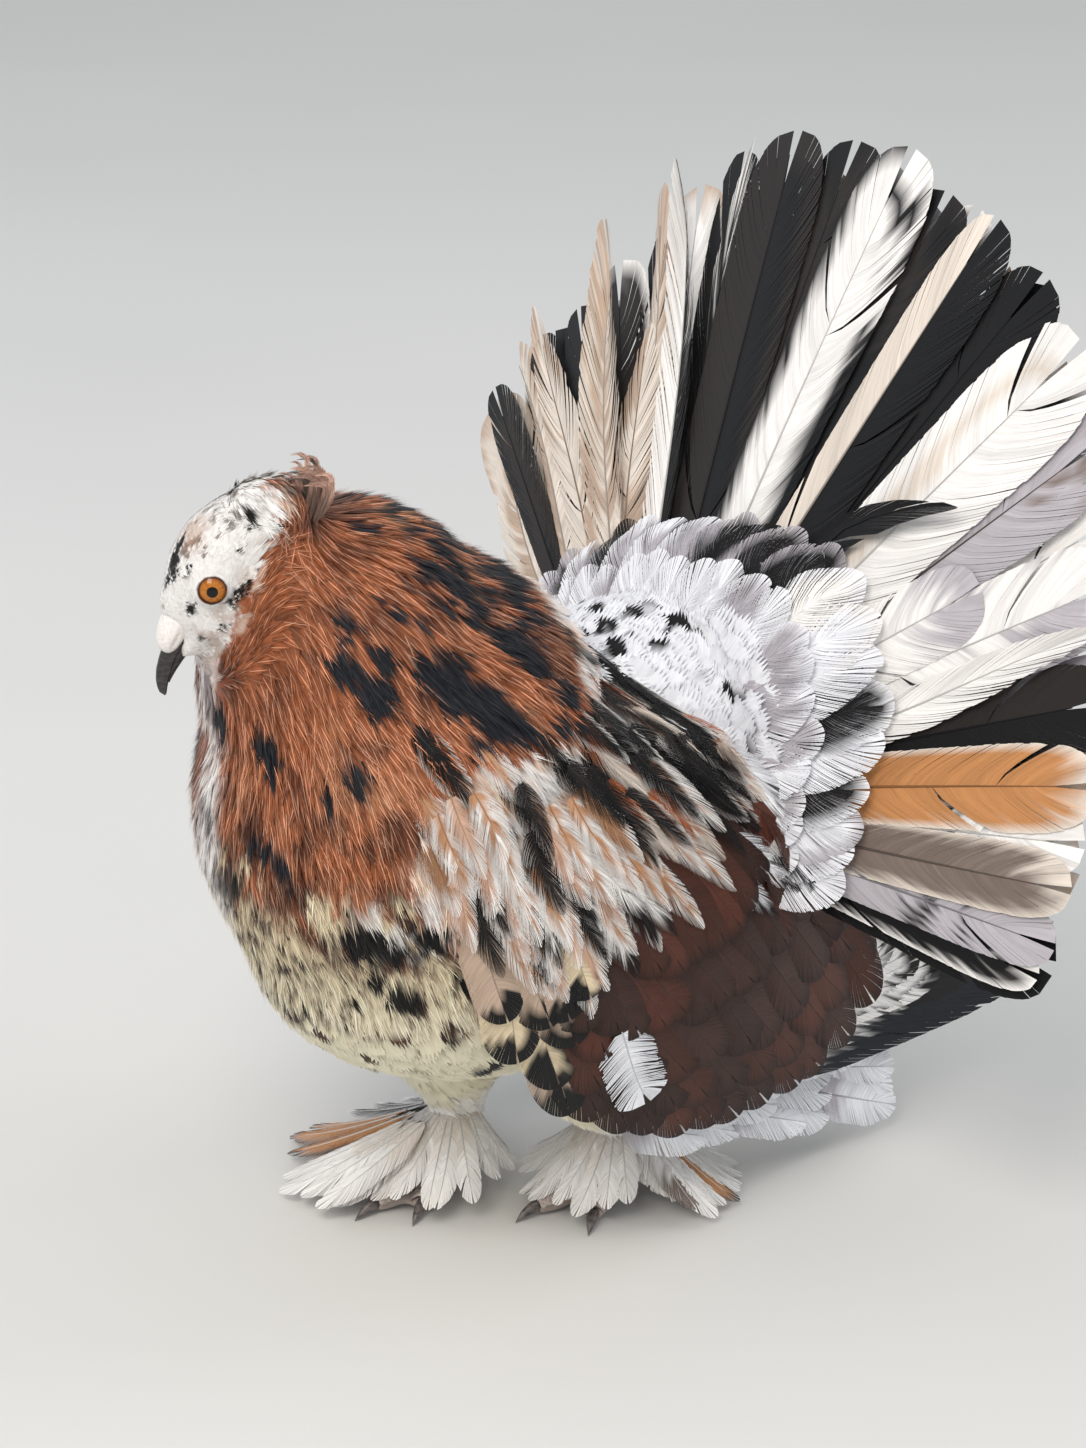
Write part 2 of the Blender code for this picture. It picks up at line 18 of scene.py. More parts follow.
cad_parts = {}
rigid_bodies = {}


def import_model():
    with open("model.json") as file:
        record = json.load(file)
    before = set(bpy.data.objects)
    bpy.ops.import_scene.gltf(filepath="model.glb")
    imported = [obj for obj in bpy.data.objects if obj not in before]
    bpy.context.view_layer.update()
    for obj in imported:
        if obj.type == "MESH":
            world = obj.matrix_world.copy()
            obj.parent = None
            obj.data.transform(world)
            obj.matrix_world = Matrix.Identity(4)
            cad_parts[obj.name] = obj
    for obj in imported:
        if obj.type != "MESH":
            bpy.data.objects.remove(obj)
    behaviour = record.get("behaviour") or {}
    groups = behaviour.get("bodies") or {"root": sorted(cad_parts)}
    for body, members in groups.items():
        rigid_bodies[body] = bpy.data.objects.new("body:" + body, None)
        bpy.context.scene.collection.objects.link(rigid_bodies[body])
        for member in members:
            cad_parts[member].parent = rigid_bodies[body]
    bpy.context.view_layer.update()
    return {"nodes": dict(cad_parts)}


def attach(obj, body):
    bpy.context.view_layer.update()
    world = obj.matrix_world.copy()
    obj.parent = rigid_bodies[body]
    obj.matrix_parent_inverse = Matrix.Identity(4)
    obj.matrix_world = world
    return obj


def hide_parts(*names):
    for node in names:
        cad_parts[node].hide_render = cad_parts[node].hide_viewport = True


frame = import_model()

bl_info = {
    "name": "Fantail pigeon",
    "version": (1, 0, 0),
    "blender": (4, 5, 0),
    "location": "3D View > Sidebar > Pigeon",
    "description": "Skin, feathers, head details and stage of a standing fantail pigeon",
    "category": "Object",
}

MM = 0.001
SHIFT = np.array((-7.73, -46.115, 0.0))     # from the frame the solids were drawn in to the model's
SIDES = {"left": 1, "right": -1}
BODY = "root"
UP = np.array((0, 0, 1.0))
FLOOR_GAP = 0.2                              # what every piece keeps from the floor, in millimetres

HEAD_CENTRE = np.array((-8.6, -86.1, 221.2))
HEAD_YAW, HEAD_PITCH = 30, 52
FAN_HUB = np.array((0.0, 57.0, 121.0))
FAN_LEAN, FAN_SWEEP = 18.4, 9.2
FAN_TOP_RADIUS, FAN_SIDE_RADIUS, FAN_WORN = 205, 152, 10
FAN_ROOT = 22                                # where the fan's feathers begin, from its hub
COVERT_RADIUS, COVERT_DEPTH = 80, 20
NECK_ROOT, RUMP_CENTRE = np.array((-10, -72, 236)), np.array((0, 30, 112))
FEET = {"left": ((15, 35, 0), 6), "right": ((-19, -1, 0), 2)}
TOES = {"inner": (20, 32), "middle": (28, 0), "outer": (22, -44), "hind": (14, 184)}
MUFFS = {"right": (66, 62, 57), "left": (-136, 44, 38)}

FLESH = ["trunk", "neck", "head", "tail_coverts", "undertail_coverts"]
for _word in SIDES:
    FLESH += [f"wing_{_word}", f"thigh_{_word}", f"shank_{_word}", f"foot_{_word}"]

MADE = {}                                    # what one operator leaves for the next


def to_linear(hex_colour):
    """An sRGB hex colour as linear red, green and blue."""
    channels = [int(hex_colour[i:i + 2], 16) / 255 for i in (1, 3, 5)]
    return tuple(c / 12.92 if c <= 0.04045 else ((c + 0.055) / 1.055) ** 2.4 for c in channels)


TONES = {
    "rust": "#A35C36",
    "rust_deep": "#52220F",
    "rust_pale": "#D29C74",
    "slate": "#161A23",
    "black": "#0B0B0D",
    "charcoal": "#241F1D",
    "chocolate": "#3B251F",
    "chestnut": "#4E2A1F",
    "brown_mottle": "#4C3125",
    "cream": "#D5C3A4",
    "belly": "#DFD8BE",
    "peach": "#DDB39A",
    "tan": "#B9A28F",
    "cream_white": "#DDD2C6",
    "white": "#EFECE9",
    "snow": "#ECEDF2",
    "grey": "#B4AFB5",
    "grey_brown": "#7A6C64",
    "orange": "#BC8352",
    "toe": "#B3A59C",
    "crest": "#D4AA96",
    "iris": "#B9742B",
    "iris_deep": "#7A3D12",
    "iris_rim": "#24120C",
    "lid_dark": "#35251F",
    "lid_pale": "#8E7D74",
}


def tone(name):
    """A named tone as linear colour. A colour that is one already passes through."""
    return np.array(to_linear(TONES[name])) if isinstance(name, str) else np.asarray(name)


def ramp(value, start, run):
    """From 0 at start to 1 a run further on, or a run before it where the run is negative."""
    return smooth_step((value - start) / run)


def patches(points, size, seed, level, sharp, stretch=(1, 1, 1)):
    """Ragged patches about size across, 0 outside and 1 inside, where smooth noise is over the level."""
    return smooth_step((noise(points * stretch, size, seed) - level) * sharp)


def unit(vectors):
    vectors = np.asarray(vectors, float)
    return vectors / np.maximum(np.linalg.norm(vectors, axis=-1, keepdims=True), 1e-9)


def to_model(points):
    return (np.asarray(points, float) + SHIFT) * MM


def to_drawing(points):
    return np.asarray(points, float) / MM - SHIFT


def smooth_step(value):
    value = np.clip(value, 0, 1)
    return value * value * (3 - 2 * value)


def noise(points, size, seed=0):
    """Smooth random values from 0 to 1 at the points, with blotches about size across."""
    place = np.asarray(points, float) / size + 531.7
    cell = np.floor(place).astype(np.int64)
    part = place - cell
    part = part * part * (3 - 2 * part)
    total = np.zeros(len(place))
    for corner in range(8):
        step = np.array([corner & 1, corner >> 1 & 1, corner >> 2 & 1])
        key = (cell + step) @ np.array([73856093, 19349663, 83492791]) + seed * 2654435
        key = (key ^ (key >> 13)) * 1274126177 & 0x7FFFFFFF
        value = (key ^ (key >> 16)) % 9973 / 9973
        total += value * np.prod(np.where(step, part, 1 - part), axis=1)
    return total


def head_axes():
    """Forward along the bill, left, and up through the crown, as rows."""
    yaw, pitch = math.radians(HEAD_YAW), math.radians(HEAD_PITCH)
    ahead = np.array((-math.sin(yaw) * math.cos(pitch), -math.cos(yaw) * math.cos(pitch), -math.sin(pitch)))
    left = np.array((math.cos(yaw), -math.sin(yaw), 0))
    return np.array((ahead, left, np.cross(ahead, left)))


HEAD_AXES = head_axes()


def on_head(points):
    """Points given along the head's own axes, in the drawing's frame."""
    return np.asarray(points, float) @ HEAD_AXES + HEAD_CENTRE


def in_head(points):
    """Points of the drawing's frame along the head's own axes."""
    return (np.asarray(points, float) - HEAD_CENTRE) @ HEAD_AXES.T


def fan_direction(angle):
    """Unit vectors along the fan, by angle in degrees from the bird's left round over its back."""
    lean, sweep, turn = math.radians(FAN_LEAN), math.radians(FAN_SWEEP), np.radians(angle)
    flat = np.stack([np.cos(turn), np.sin(turn) * math.sin(lean), np.sin(turn) * math.cos(lean)], -1)
    behind = np.array((0, math.cos(lean), -math.sin(lean)))
    return flat * math.cos(sweep) + behind * math.sin(sweep)


def fan_normal(angle):
    """Unit normals of the fan's front."""
    step = fan_direction(np.asarray(angle) + 1.0) - fan_direction(np.asarray(angle) - 1.0)
    normal = unit(np.cross(step, fan_direction(angle)))
    return np.where(normal[..., 1:2] < 0, normal, -normal)


def fan_radius(angle):
    reach = FAN_TOP_RADIUS + (FAN_SIDE_RADIUS - FAN_TOP_RADIUS) * math.cos(math.radians(angle)) ** 2
    return reach - FAN_WORN * math.exp(-(((angle - 128) / 10) ** 2))


def fan_points(angle, radii, offsets):
    angles = np.full(len(radii), float(angle)) if np.ndim(angle) == 0 else np.asarray(angle)
    in_plane = FAN_HUB + fan_direction(angles) * np.asarray(radii)[:, None]
    return in_plane + fan_normal(angles) * np.asarray(offsets)[:, None]


def covert_reach(angle):
    return COVERT_RADIUS + 18 * math.exp(-(((angle - 52) / 30) ** 2))


def floor_direction(degrees):
    """Unit vectors on the floor, 0 straight ahead and positive to the bird's right."""
    turn = np.radians(degrees)
    return np.stack([-np.sin(turn), -np.cos(turn), np.zeros_like(turn)], -1)


# Blotches of the neck and back that the photo shows on the bird's left: place and size in
# millimetres, and how much longer than broad they lie along the feathers
BLOTCHES = (
    ((30, -73, 204), 6.5, 1.3), ((35, -66, 196), 6.5, 1.5), ((33, -62, 205), 4, 1.6),
    ((38, -62, 192), 4, 1.8), ((38, -50, 199), 4.5, 2.2), ((41, -44, 194), 6.5, 2.0),
    ((45, -36, 188), 7, 2.0), ((50, -28, 182), 5.5, 1.5), ((37, -22, 201), 5, 2.2),
    ((41, -16, 196), 5, 2.0), ((45, -8, 186), 5, 1.8), ((49, -13, 179), 4, 1.5), ((12, -86, 178), 5, 1.6),
    ((14, -86, 172), 4, 1.6), ((-5, -89, 181), 4.5, 1.8), ((26, -68, 214), 4.2, 1.4),
    ((34, -48, 212), 3.6, 1.8), ((20, -30, 225), 4.5, 2.2), ((28, -31, 217), 5, 2.4),
    ((12, -50, 233), 3.6, 2.4), ((48, -42, 180), 4.5, 1.5), ((29, -57, 217), 3.2, 1.8),
    ((39, -55, 186), 2.6, 1.8), ((34, -72, 173), 4.5, 2.0), ((29, -78, 169), 3.6, 1.5),
    ((18, -8, 211), 5, 2.6), ((27, -12, 207), 4, 2.6), ((8, -22, 222), 4, 2.8), ((12, -89, 152), 5, 1.2),
    ((19, -87, 149), 4, 1.4), ((3, -36, 231), 3, 2.5), ((24, -84, 186), 2.2, 1.6),
)
# Dark spots lower down, on the breast and in front of the wing
BREAST_SPOTS = (
    ((35, -75, 126), 6), ((42, -67, 122), 6.5), ((48, -58, 126), 6.5), ((50, -52, 133), 5),
    ((38, -60, 105), 6), ((44, -55, 100), 4.5), ((28, -76, 115), 3.5), ((25, -70, 103), 2.8),
    ((16, -82, 116), 3.6), ((8, -82, 112), 3), ((26, -64, 89), 3), ((19, -64, 81), 2.6), ((42, -47, 89), 5),
    ((36, -32, 71), 4.5), ((3, -80, 108), 2.4), ((48, -46, 108), 5.5), ((33, -66, 112), 3.4),
    ((-6, -82, 116), 3), ((10, -74, 96), 2.4), ((31, -54, 80), 2.4),
)


def blotch_field(points, blotches, lie):
    """How deep the points lie in any of the blotches, above 0 inside."""
    depth = np.full(len(points), -1.0)
    for centre, size, stretch in blotches:
        away = points - np.array(centre, float)
        near = np.einsum("ij,ij->i", away, away) < (size * stretch * 1.8) ** 2
        if near.any():
            along = np.einsum("ij,ij->i", away[near], lie[near])
            across = np.sqrt(np.maximum(0, np.einsum("ij,ij->i", away[near], away[near]) - along ** 2))
            inside = 1 - np.hypot(along / (size * stretch), across / size)
            depth[near] = np.maximum(depth[near], inside)
    return depth


def lie_of(points, normals):
    """Which way the coat lies at the points, along the skin."""
    points = np.asarray(points, float)
    away = unit(points - NECK_ROOT)
    back = unit(np.array((0.0, 0.86, -0.5)) + away * 0.5)
    under = np.array((0.0, 0.9, -0.25))
    radial = unit(points - RUMP_CENTRE)
    on_face = ramp(np.linalg.norm(in_head(points) - (6, 0, -2), axis=1), 32, -14)[:, None]
    low = ramp(points[:, 2], 150, -50)[:, None]
    behind = ramp(points[:, 1], 18, 22)[:, None]
    front = ramp(points[:, 1], -20, -30)[:, None]
    belly = ramp(points[:, 2], 92, -30)[:, None]
    flow = away * (1 - low) + (back * (1 - front) + unit(away + (0, 0.35, -0.5)) * front) * low
    flow = flow * (1 - belly) + under * belly
    flow = flow * (1 - behind) + radial * behind
    flow = flow * (1 - on_face) + -HEAD_AXES[0] * on_face
    return unit(flow - normals * np.einsum("ij,ij->i", flow, normals)[:, None])


def mix(a, b, share):
    """From colour a to colour b by each point's share. Either may be the name of a tone."""
    a, b = tone(a), tone(b)
    return a + (b - a) * np.clip(share, 0, 1)[:, None]


# Where the rust cape ends on the side: heights, and how far back at each
CAPE_EDGE = ((124, 132, 140, 150, 161, 172, 175), (-44, -58, -65, -66, -61, -51, -44))
# Where the white of the head begins: heights along the head's axes, and how far ahead at each
WHITE_EDGE = ((-20, -16, -13.9, -8, -6.3, -5.6, -1.6, 2, 14), (60, 20, 10.5, -3.5, -9.7, -16, -27, -30, -33))


def white_line(up):
    """How far ahead the head's white begins, by height along the head's axes."""
    return np.interp(up, *WHITE_EDGE)


def cape_and_breast(points, ragged, middle, blotched):
    """Colours of neck and body ahead of the shoulders: a rust cape, mottled below, and a cream breast."""
    x, y, z = points.T
    rust = mix("rust", "rust_pale", (noise(points, 15, 7) - 0.6) * 1.5)
    rust = mix(rust, "rust_deep", (0.5 - middle) * 1.9)
    dark = smooth_step((noise(points, 9, 11) - 0.66 - 0.2 * (x > -4)) * 6 + ragged * 0.5)
    rust = mix(rust, "slate", dark * ramp(y, -92, 14))
    top = ramp(z - 190 - 0.1 * y, 0, 14) * ramp(y, -64, 24)
    rust = mix(rust, "slate", top * patches(points, 4.6, 13, 0.46, 6, (1.6, 1, 1)))
    low = ramp(z, 172, -16) * patches(points, 4.4, 15, 0.52, 6, (1, 1, 0.6))
    rust = mix(rust, tone("rust_deep") * 0.6, low * 0.8)

    mottled = mix("brown_mottle", "rust", (middle - 0.35) * 2.0)
    mottled = mix(mottled, "cream", (noise(points * (1, 1, 0.5), 3.6, 17) - 0.58) * 4.0)
    mottled = mix(mottled, "black", patches(points, 5.0, 18, 0.56, 8, (1, 1, 0.6)))
    ticks = patches(points, 3.4, 19, 0.63, 9, (1, 1, 1.5)) * ramp(z, 66, 16)
    pale = mix(mix("cream", "belly", (116 - z) / 30), tone("brown_mottle") * 0.8, ticks)
    side_on = ramp(x, 14, 20) + ramp(x, -22, -20)
    colour = mix(pale, mottled, ramp(z, 126 - 14 * side_on + ragged * 18, 9))
    colour = mix(colour, rust, ramp(z, 147 - 7 * side_on + ragged * 14, 8))

    streaks = patches(points, 4, 23, 0.5, 7, (1, 1, 0.6))
    throat = ramp(x, -2, -8) * ramp(z, 204, -8) * ramp(y, -82, -4)
    colour = mix(colour, mix("white", tone("grey") * 0.5, streaks), throat * 0.9)
    ring = smooth_step(1.3 - np.abs(z - 133 - ragged * 7 - (x - 45) * 0.15) / 9) * ramp(x, 32, 8)
    colour = mix(colour, tone("white") * 0.8, ring * streaks * ramp(y, -44, -6))
    colour = mix(colour, "black", blotched([(*spot, 1.4) for spot in BREAST_SPOTS], 5, 1))
    return mix(colour, "slate", blotched(BLOTCHES, 6, 1.2))


def head_markings(colour, points, ragged, blotched):
    """Lays the head's white over the colours: back to the crest and down to a line below the eye."""
    head = in_head(points)
    ahead, _, up = head.T
    near = np.linalg.norm(head, axis=1) < 44
    line = white_line(up)
    face = mix("white", tone("grey_brown") * 0.6, patches(points, 1.7, 37, 0.66, 10) * ramp(up, 1, 6) * 0.8)
    crown_patch = smooth_step(1.2 - np.linalg.norm(head - (-6, 5, 12.5), axis=1) / 7)
    face = mix(face, tone("rust_pale") * 0.7, crown_patch * 0.5)
    cheek = ramp(up, -1, -6) * patches(points, 2.4, 41, 0.42, 4)
    face = mix(face, tone("rust_pale") * 0.55, cheek * 0.5)
    face = mix(face, "black", blotched(HEAD_FLECKS, 5, 1.4))
    nape = ramp(np.abs(ahead - line + 4), 4, -4) * ramp(up, -9, 6) * near
    colour = mix(colour, tone("grey_brown") * 0.8, nape * patches(points, 2.0, 47, 0.4, 6) * 0.9)
    cheek_edge = ramp(np.abs(ahead - line + 3), 6, -5) * patches(points, 2.6, 43, 0.5, 5) * near
    colour = mix(colour, "cream_white", cheek_edge * 0.55)
    return mix(colour, face, smooth_step((ahead - line + ragged * 5) / 3) * near)


def markings(points, lie):
    """Colours of skin and coat at the points, in the drawing's frame."""
    points = np.asarray(points, float)
    x, y, z = points.T
    middle = noise(points, 6, 5)
    ragged = (noise(points, 2.2, 3) - 0.5) * 0.5 + (middle - 0.5) * 0.8

    def blotched(blotches, depth, torn):
        return smooth_step(blotch_field(points, blotches, lie) * depth + ragged * torn)

    colour = cape_and_breast(points, ragged, middle, blotched)

    # Behind the cape's edge the shoulders are peach and white, and the rump is white with black flecks
    on_side = np.where(np.abs(x) > 30, y - np.interp(z, *CAPE_EDGE), y + 6)
    edge = np.where(z > 174, y + 1, on_side)
    mantle = mix("peach", "white", (middle - 0.35) * 2.6)
    mantle = mix(mantle, "black", patches(points, 8, 29, 0.6, 8))
    colour = mix(colour, mantle, smooth_step((edge + ragged * 6) / 4) * ramp(z, 116, 8))
    flecks = np.maximum(patches(points, 4.2, 31, 0.76, 12, (1, 0.7, 1)), blotched(RUMP_FLECKS, 5, 1))
    rump = mix(mix("snow", "grey", (middle - 0.6) * 1.2), "black", flecks)
    colour = mix(colour, rump, smooth_step((y - 13 + ragged * 8) / 7) * ramp(z, 88, 16))
    colour = mix(colour, "snow", ramp(y, 22, 14) * ramp(z, 96, -12))

    colour = head_markings(colour, points, ragged, blotched)
    colour = mix(colour, "belly", ramp(z, 64, -8) * ramp(y, -26, 8))
    return mix(colour, "white", ramp(z, 40, -10))


def head_places(places):
    return tuple((tuple(on_head(place)), size, stretch) for place, size, stretch in places)


HEAD_FLECKS = head_places(
    (
        ((9.5, 9.2, 0.4), 2.0, 1.2), ((-1, 13, -7.4), 3.0, 1.6), ((-3.8, 13.5, -7.4), 3.0, 1.4),
        ((-22, 8, 6), 2.0, 1.8), ((-18, 12, 2.4), 1.9, 1.6), ((-21.5, 13, -1.5), 2.0, 1.5),
        ((-12.5, 13, 0.5), 1.6, 1.6), ((-9.9, 14.6, -5.8), 1.9, 1.6), ((1.8, 4.3, 11.8), 2.8, 1.4),
        ((-2, 3.4, 12.9), 2.3, 1.5), ((5, 5.4, 9.6), 2.1, 1.3), ((0.5, 10, 7.8), 1.3, 1.6),
        ((7.5, 3, 9.8), 2.0, 1.4), ((15, 7.2, -7.5), 1.3, 1.3), ((8, 9.5, -9.5), 1.4, 1.3),
        ((13.5, 10, -13), 1.7, 1.3), ((9.5, -9.2, 0.4), 1.4, 1.2), ((-2, -13, -7), 2.2, 1.4),
        ((-20, -9, 5), 1.8, 1.7), ((-14, -12, 2), 1.5, 1.6), ((2.5, -5, 11.3), 2.2, 1.4),
        ((-8, -4, 13), 1.7, 1.6), ((-16, -2, 12), 1.5, 1.8), ((13, -9, -12), 1.3, 1.3),
    )
)
RUMP_FLECKS = (
    ((19, 28, 177), 3.6, 1.6), ((14, 33, 177), 3.2, 1.8), ((31, 40, 168), 2.6, 2.2),
    ((23, 59, 176), 2.4, 2.2), ((5, 38, 179), 2.8, 2.0), ((36, 24, 166), 3.0, 1.8),
    ((46, 50, 158), 1.8, 2.4), ((60, 66, 160), 2.0, 2.2), ((-12, 30, 177), 3.2, 1.8),
    ((-30, 42, 168), 2.6, 2.2), ((-44, 52, 156), 2.2, 2.2), ((66, 62, 138), 2.2, 2.0),
)


def add(tree, kind, values=None, links=None, **settings):
    """Adds a node with its settings, its sockets' values and the sockets that feed it."""
    node = tree.nodes.new(kind)
    for name, value in settings.items():
        setattr(node, name, value)
    for name, value in (values or {}).items():
        node.inputs[name].default_value = value
    for name, socket in (links or {}).items():
        tree.links.new(socket, node.inputs[name])
    return node


def new_material(name, **finish):
    """A material with only its output and its Principled shader, and that shader's node tree."""
    made = bpy.data.materials.get(name) or bpy.data.materials.new(name)
    made.use_nodes = True
    tree = made.node_tree
    tree.nodes.clear()
    values = {label.replace("_", " "): value for label, value in finish.items()}
    shader = add(tree, "ShaderNodeBsdfPrincipled", values)
    add(tree, "ShaderNodeOutputMaterial", links={"Surface": shader.outputs[0]})
    return made, tree, shader


def object_noise(tree, scale, detail, stretch=None):
    """Noise over the piece's own place, as a socket from 0 to 1."""
    place = add(tree, "ShaderNodeTexCoord").outputs["Object"]
    if stretch:
        place = add(tree, "ShaderNodeMapping", {"Scale": stretch}, {"Vector": place}).outputs[0]
    values = {"Scale": scale, "Detail": detail}
    return add(tree, "ShaderNodeTexNoise", values, {"Vector": place}).outputs["Fac"]


def shade_tone(tree, shader, pattern, low, high, start=0.0, end=1.0):
    """Gives the shader the marked tone, from low to high of it as the pattern goes from start to end."""
    marks = add(tree, "ShaderNodeAttribute", attribute_name="tone").outputs["Color"]
    limits = {"From Min": start, "From Max": end, "To Min": low, "To Max": high}
    shade = add(tree, "ShaderNodeMapRange", limits, {"Value": pattern}).outputs[0]
    colour = add(tree, "ShaderNodeVectorMath", links={"Vector": marks, "Scale": shade}, operation="SCALE")
    tree.links.new(colour.outputs[0], shader.inputs["Base Color"])


def ramp_colour(tree, shader, pattern, dark, light, start=0.0, end=1.0):
    """Gives the shader two hex colours, blended as the pattern goes from start to end."""
    colour = add(tree, "ShaderNodeValToRGB", links={"Fac": pattern})
    for element, place, shade in zip(colour.color_ramp.elements, (start, end), (dark, light)):
        element.position = place
        element.color = (*to_linear(shade), 1)
    tree.links.new(colour.outputs[0], shader.inputs["Base Color"])


def raise_bumps(tree, shader, pattern, strength, height_mm):
    bump = add(
        tree, "ShaderNodeBump", {"Strength": strength, "Distance": height_mm * MM}, {"Height": pattern},
    )
    tree.links.new(bump.outputs[0], shader.inputs["Normal"])


def feather_material(name, roughness, streak_mm, depth, sheen=0.0):
    """Feather keratin: matt barbs side by side, so that light streaks run from the shaft to the rim.

    The colour comes from the vanes' own markings. Real barbs stand 0.3 mm apart, and are drawn two to
    three times as wide so that they show.
    """
    made, tree, shader = new_material(name, Roughness=roughness, Sheen_Weight=sheen, Specular_IOR_Level=0.24)
    grain = add(tree, "ShaderNodeAttribute", attribute_name="grain").outputs["Vector"]
    stretch = {"Scale": (1.0 / streak_mm, 0.12, 1.0)}
    barbs = add(tree, "ShaderNodeMapping", stretch, {"Vector": grain}).outputs[0]
    texture = {"Scale": 1.0, "Detail": 2.0, "Roughness": 0.6}
    streak = add(tree, "ShaderNodeTexNoise", texture, {"Vector": barbs}).outputs["Fac"]
    shade_tone(tree, shader, streak, 1.0 - depth, 1.0 + depth, 0.28, 0.72)
    raise_bumps(tree, shader, streak, 0.5, 0.18)
    return made


def skin_material(name="down_and_skin", low=0.72, high=1.05):
    """The down next to the skin, seen between the feathers: matt, soft and a little darker than they are."""
    made, tree, shader = new_material(name, Roughness=0.85)
    lump = object_noise(tree, 900.0, 3.0)
    shade_tone(tree, shader, lump, low, high)
    raise_bumps(tree, shader, lump, 0.6, 0.4)
    return made


def horn_material(name, dark, light, roughness, grain_mm, bump_mm, stretch=(1, 1, 1)):
    """Horn of bill and claws: smooth keratin with a soft shine and faint growth lines."""
    made, tree, shader = new_material(name)
    growth = object_noise(tree, 1000 / grain_mm, 4.0, stretch)
    ramp_colour(tree, shader, growth, dark, light, 0.3, 0.72)
    limits = {"To Min": roughness - 0.08, "To Max": roughness + 0.12}
    rough = add(tree, "ShaderNodeMapRange", limits, {"Value": growth})
    tree.links.new(rough.outputs[0], shader.inputs["Roughness"])
    raise_bumps(tree, shader, growth, 0.5, bump_mm)
    return made


def eye_material():
    """The eye's wet clear surface over the iris, whose colours are marked on the ball itself."""
    made, tree, shader = new_material("wet_eye", Roughness=0.05, Specular_IOR_Level=0.32)
    shade_tone(tree, shader, object_noise(tree, 2600.0, 3.0), 0.6, 1.4)
    return made


def placed(name, data):
    """A new object in the scene, at the origin."""
    made = bpy.data.objects.new(name, data)
    bpy.context.scene.collection.objects.link(made)
    return made


def finish_piece(made, slot, nodes=()):
    """Rides on the bird and hides the nodes that it stands for. The slot is not used."""
    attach(made, BODY)
    if nodes:
        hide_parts(*nodes)


def mesh_object(name, points, faces, material):
    """A mesh object at the origin from points in the drawing's frame."""
    mesh = bpy.data.meshes.new(name)
    mesh.from_pydata(to_model(points).tolist(), [], [list(map(int, face)) for face in faces])
    mesh.validate()
    mesh.materials.append(material)
    mesh.shade_smooth()
    return placed(name, mesh)


def settle(holder, name):
    """Makes the holder's mesh what its modifiers show, and removes them."""
    graph = bpy.context.evaluated_depsgraph_get()
    mesh = bpy.data.meshes.new_from_object(holder.evaluated_get(graph))
    mesh.name = name
    holder.modifiers.clear()
    holder.data = mesh
    return mesh


def paint_vertices(mesh, colours):
    layer = mesh.attributes.get("tone") or mesh.attributes.new("tone", "FLOAT_COLOR", "POINT")
    rgba = np.ones((len(mesh.vertices), 4), np.float32)
    rgba[:, :3] = colours
    layer.data.foreach_set("color", rgba.ravel())


def mesh_points(mesh):
    flat = np.zeros(len(mesh.vertices) * 3, np.float32)
    mesh.vertices.foreach_get("co", flat)
    return flat.reshape(-1, 3).astype(float)


def mesh_normals(mesh):
    flat = np.zeros(len(mesh.vertices) * 3, np.float32)
    mesh.vertex_normals.foreach_get("vector", flat)
    return flat.reshape(-1, 3).astype(float)


JOINING_GROWTH = 0.5                         # how far the flesh nodes are grown so that they join
UNWRAP_FACES = 5000                          # faces of the coarse skin that places the tufts' colours
# How deep the coat is over each kind of node, in millimetres
COAT_DEPTHS = {
    "head": 0.9,
    "neck": 2.6,
    "trunk": 2.8,
    "tail_coverts": 3.4,
    "undertail_coverts": 3.0,
    "wing": 1.6,
    "thigh": 2.0,
    "shank": 1.0,
    "foot": 0.3,
}


def kind_of(node):
    return node if node in COAT_DEPTHS else node.rsplit("_", 1)[0]


def blur(values, edges, rounds):
    """Evens out one value per vertex along the mesh's edges."""
    for _ in range(rounds):
        total, number = values.copy(), np.ones(len(values))
        for one, other in (edges.T, edges.T[::-1]):
            np.add.at(total, one, values[other])
            np.add.at(number, one, 1)
        values = total / number
    return values


def flesh_shapes():
    """The flesh nodes grown a little so that they join, and a tree that tells whose face is nearest."""
    grown = bmesh.new()
    owners, points, faces = [], [], []
    for name in FLESH:
        part = bmesh.new()
        part.from_mesh(frame["nodes"][name].data)
        bmesh.ops.remove_doubles(part, verts=part.verts, dist=0.00001)
        part.normal_update()
        part.verts.index_update()
        faces += [tuple(v.index + len(points) for v in f.verts) for f in part.faces]
        points += [tuple(v.co) for v in part.verts]
        owners += [name] * len(part.faces)
        for vert in part.verts:
            vert.co += vert.normal * JOINING_GROWTH * MM
        piece = bpy.data.meshes.new("part")
        part.to_mesh(piece)
        part.free()
        grown.from_mesh(piece)
        bpy.data.meshes.remove(piece)
    return grown, owners, BVHTree.FromPolygons(points, faces)


# The feathered chin and gape round the root of the bill, along the head's axes: centre and half sizes
CHINS = (((15.6, 0.0, -9.9), (8.4, 5.4, 5.2)), ((18.2, 0.0, -7.7), (7.4, 5.9, 5.2)))
EYE_OUT, EYE_RADIUS, LID_MOUND = 9.82, 5.0, 6.7
# The rings of the eyeball's back and of the lid: distance along the eye's axis, and radius
EYE_BACK = [(2.4, 4.0), (0.0, 3.7), (-2.0, 2.5), (-2.6, 0.0)]
LID_RINGS = (
    (3.25, 3.5), (3.55, 3.58), (3.62, 3.72), (3.45, 3.95), (3.1, 4.25), (2.6, 4.55), (1.9, 4.8), (1.0, 4.9),
    (0.9, 4.5), (2.0, 4.3), (2.7, 4.0), (3.1, 3.6), (3.25, 3.5),
)


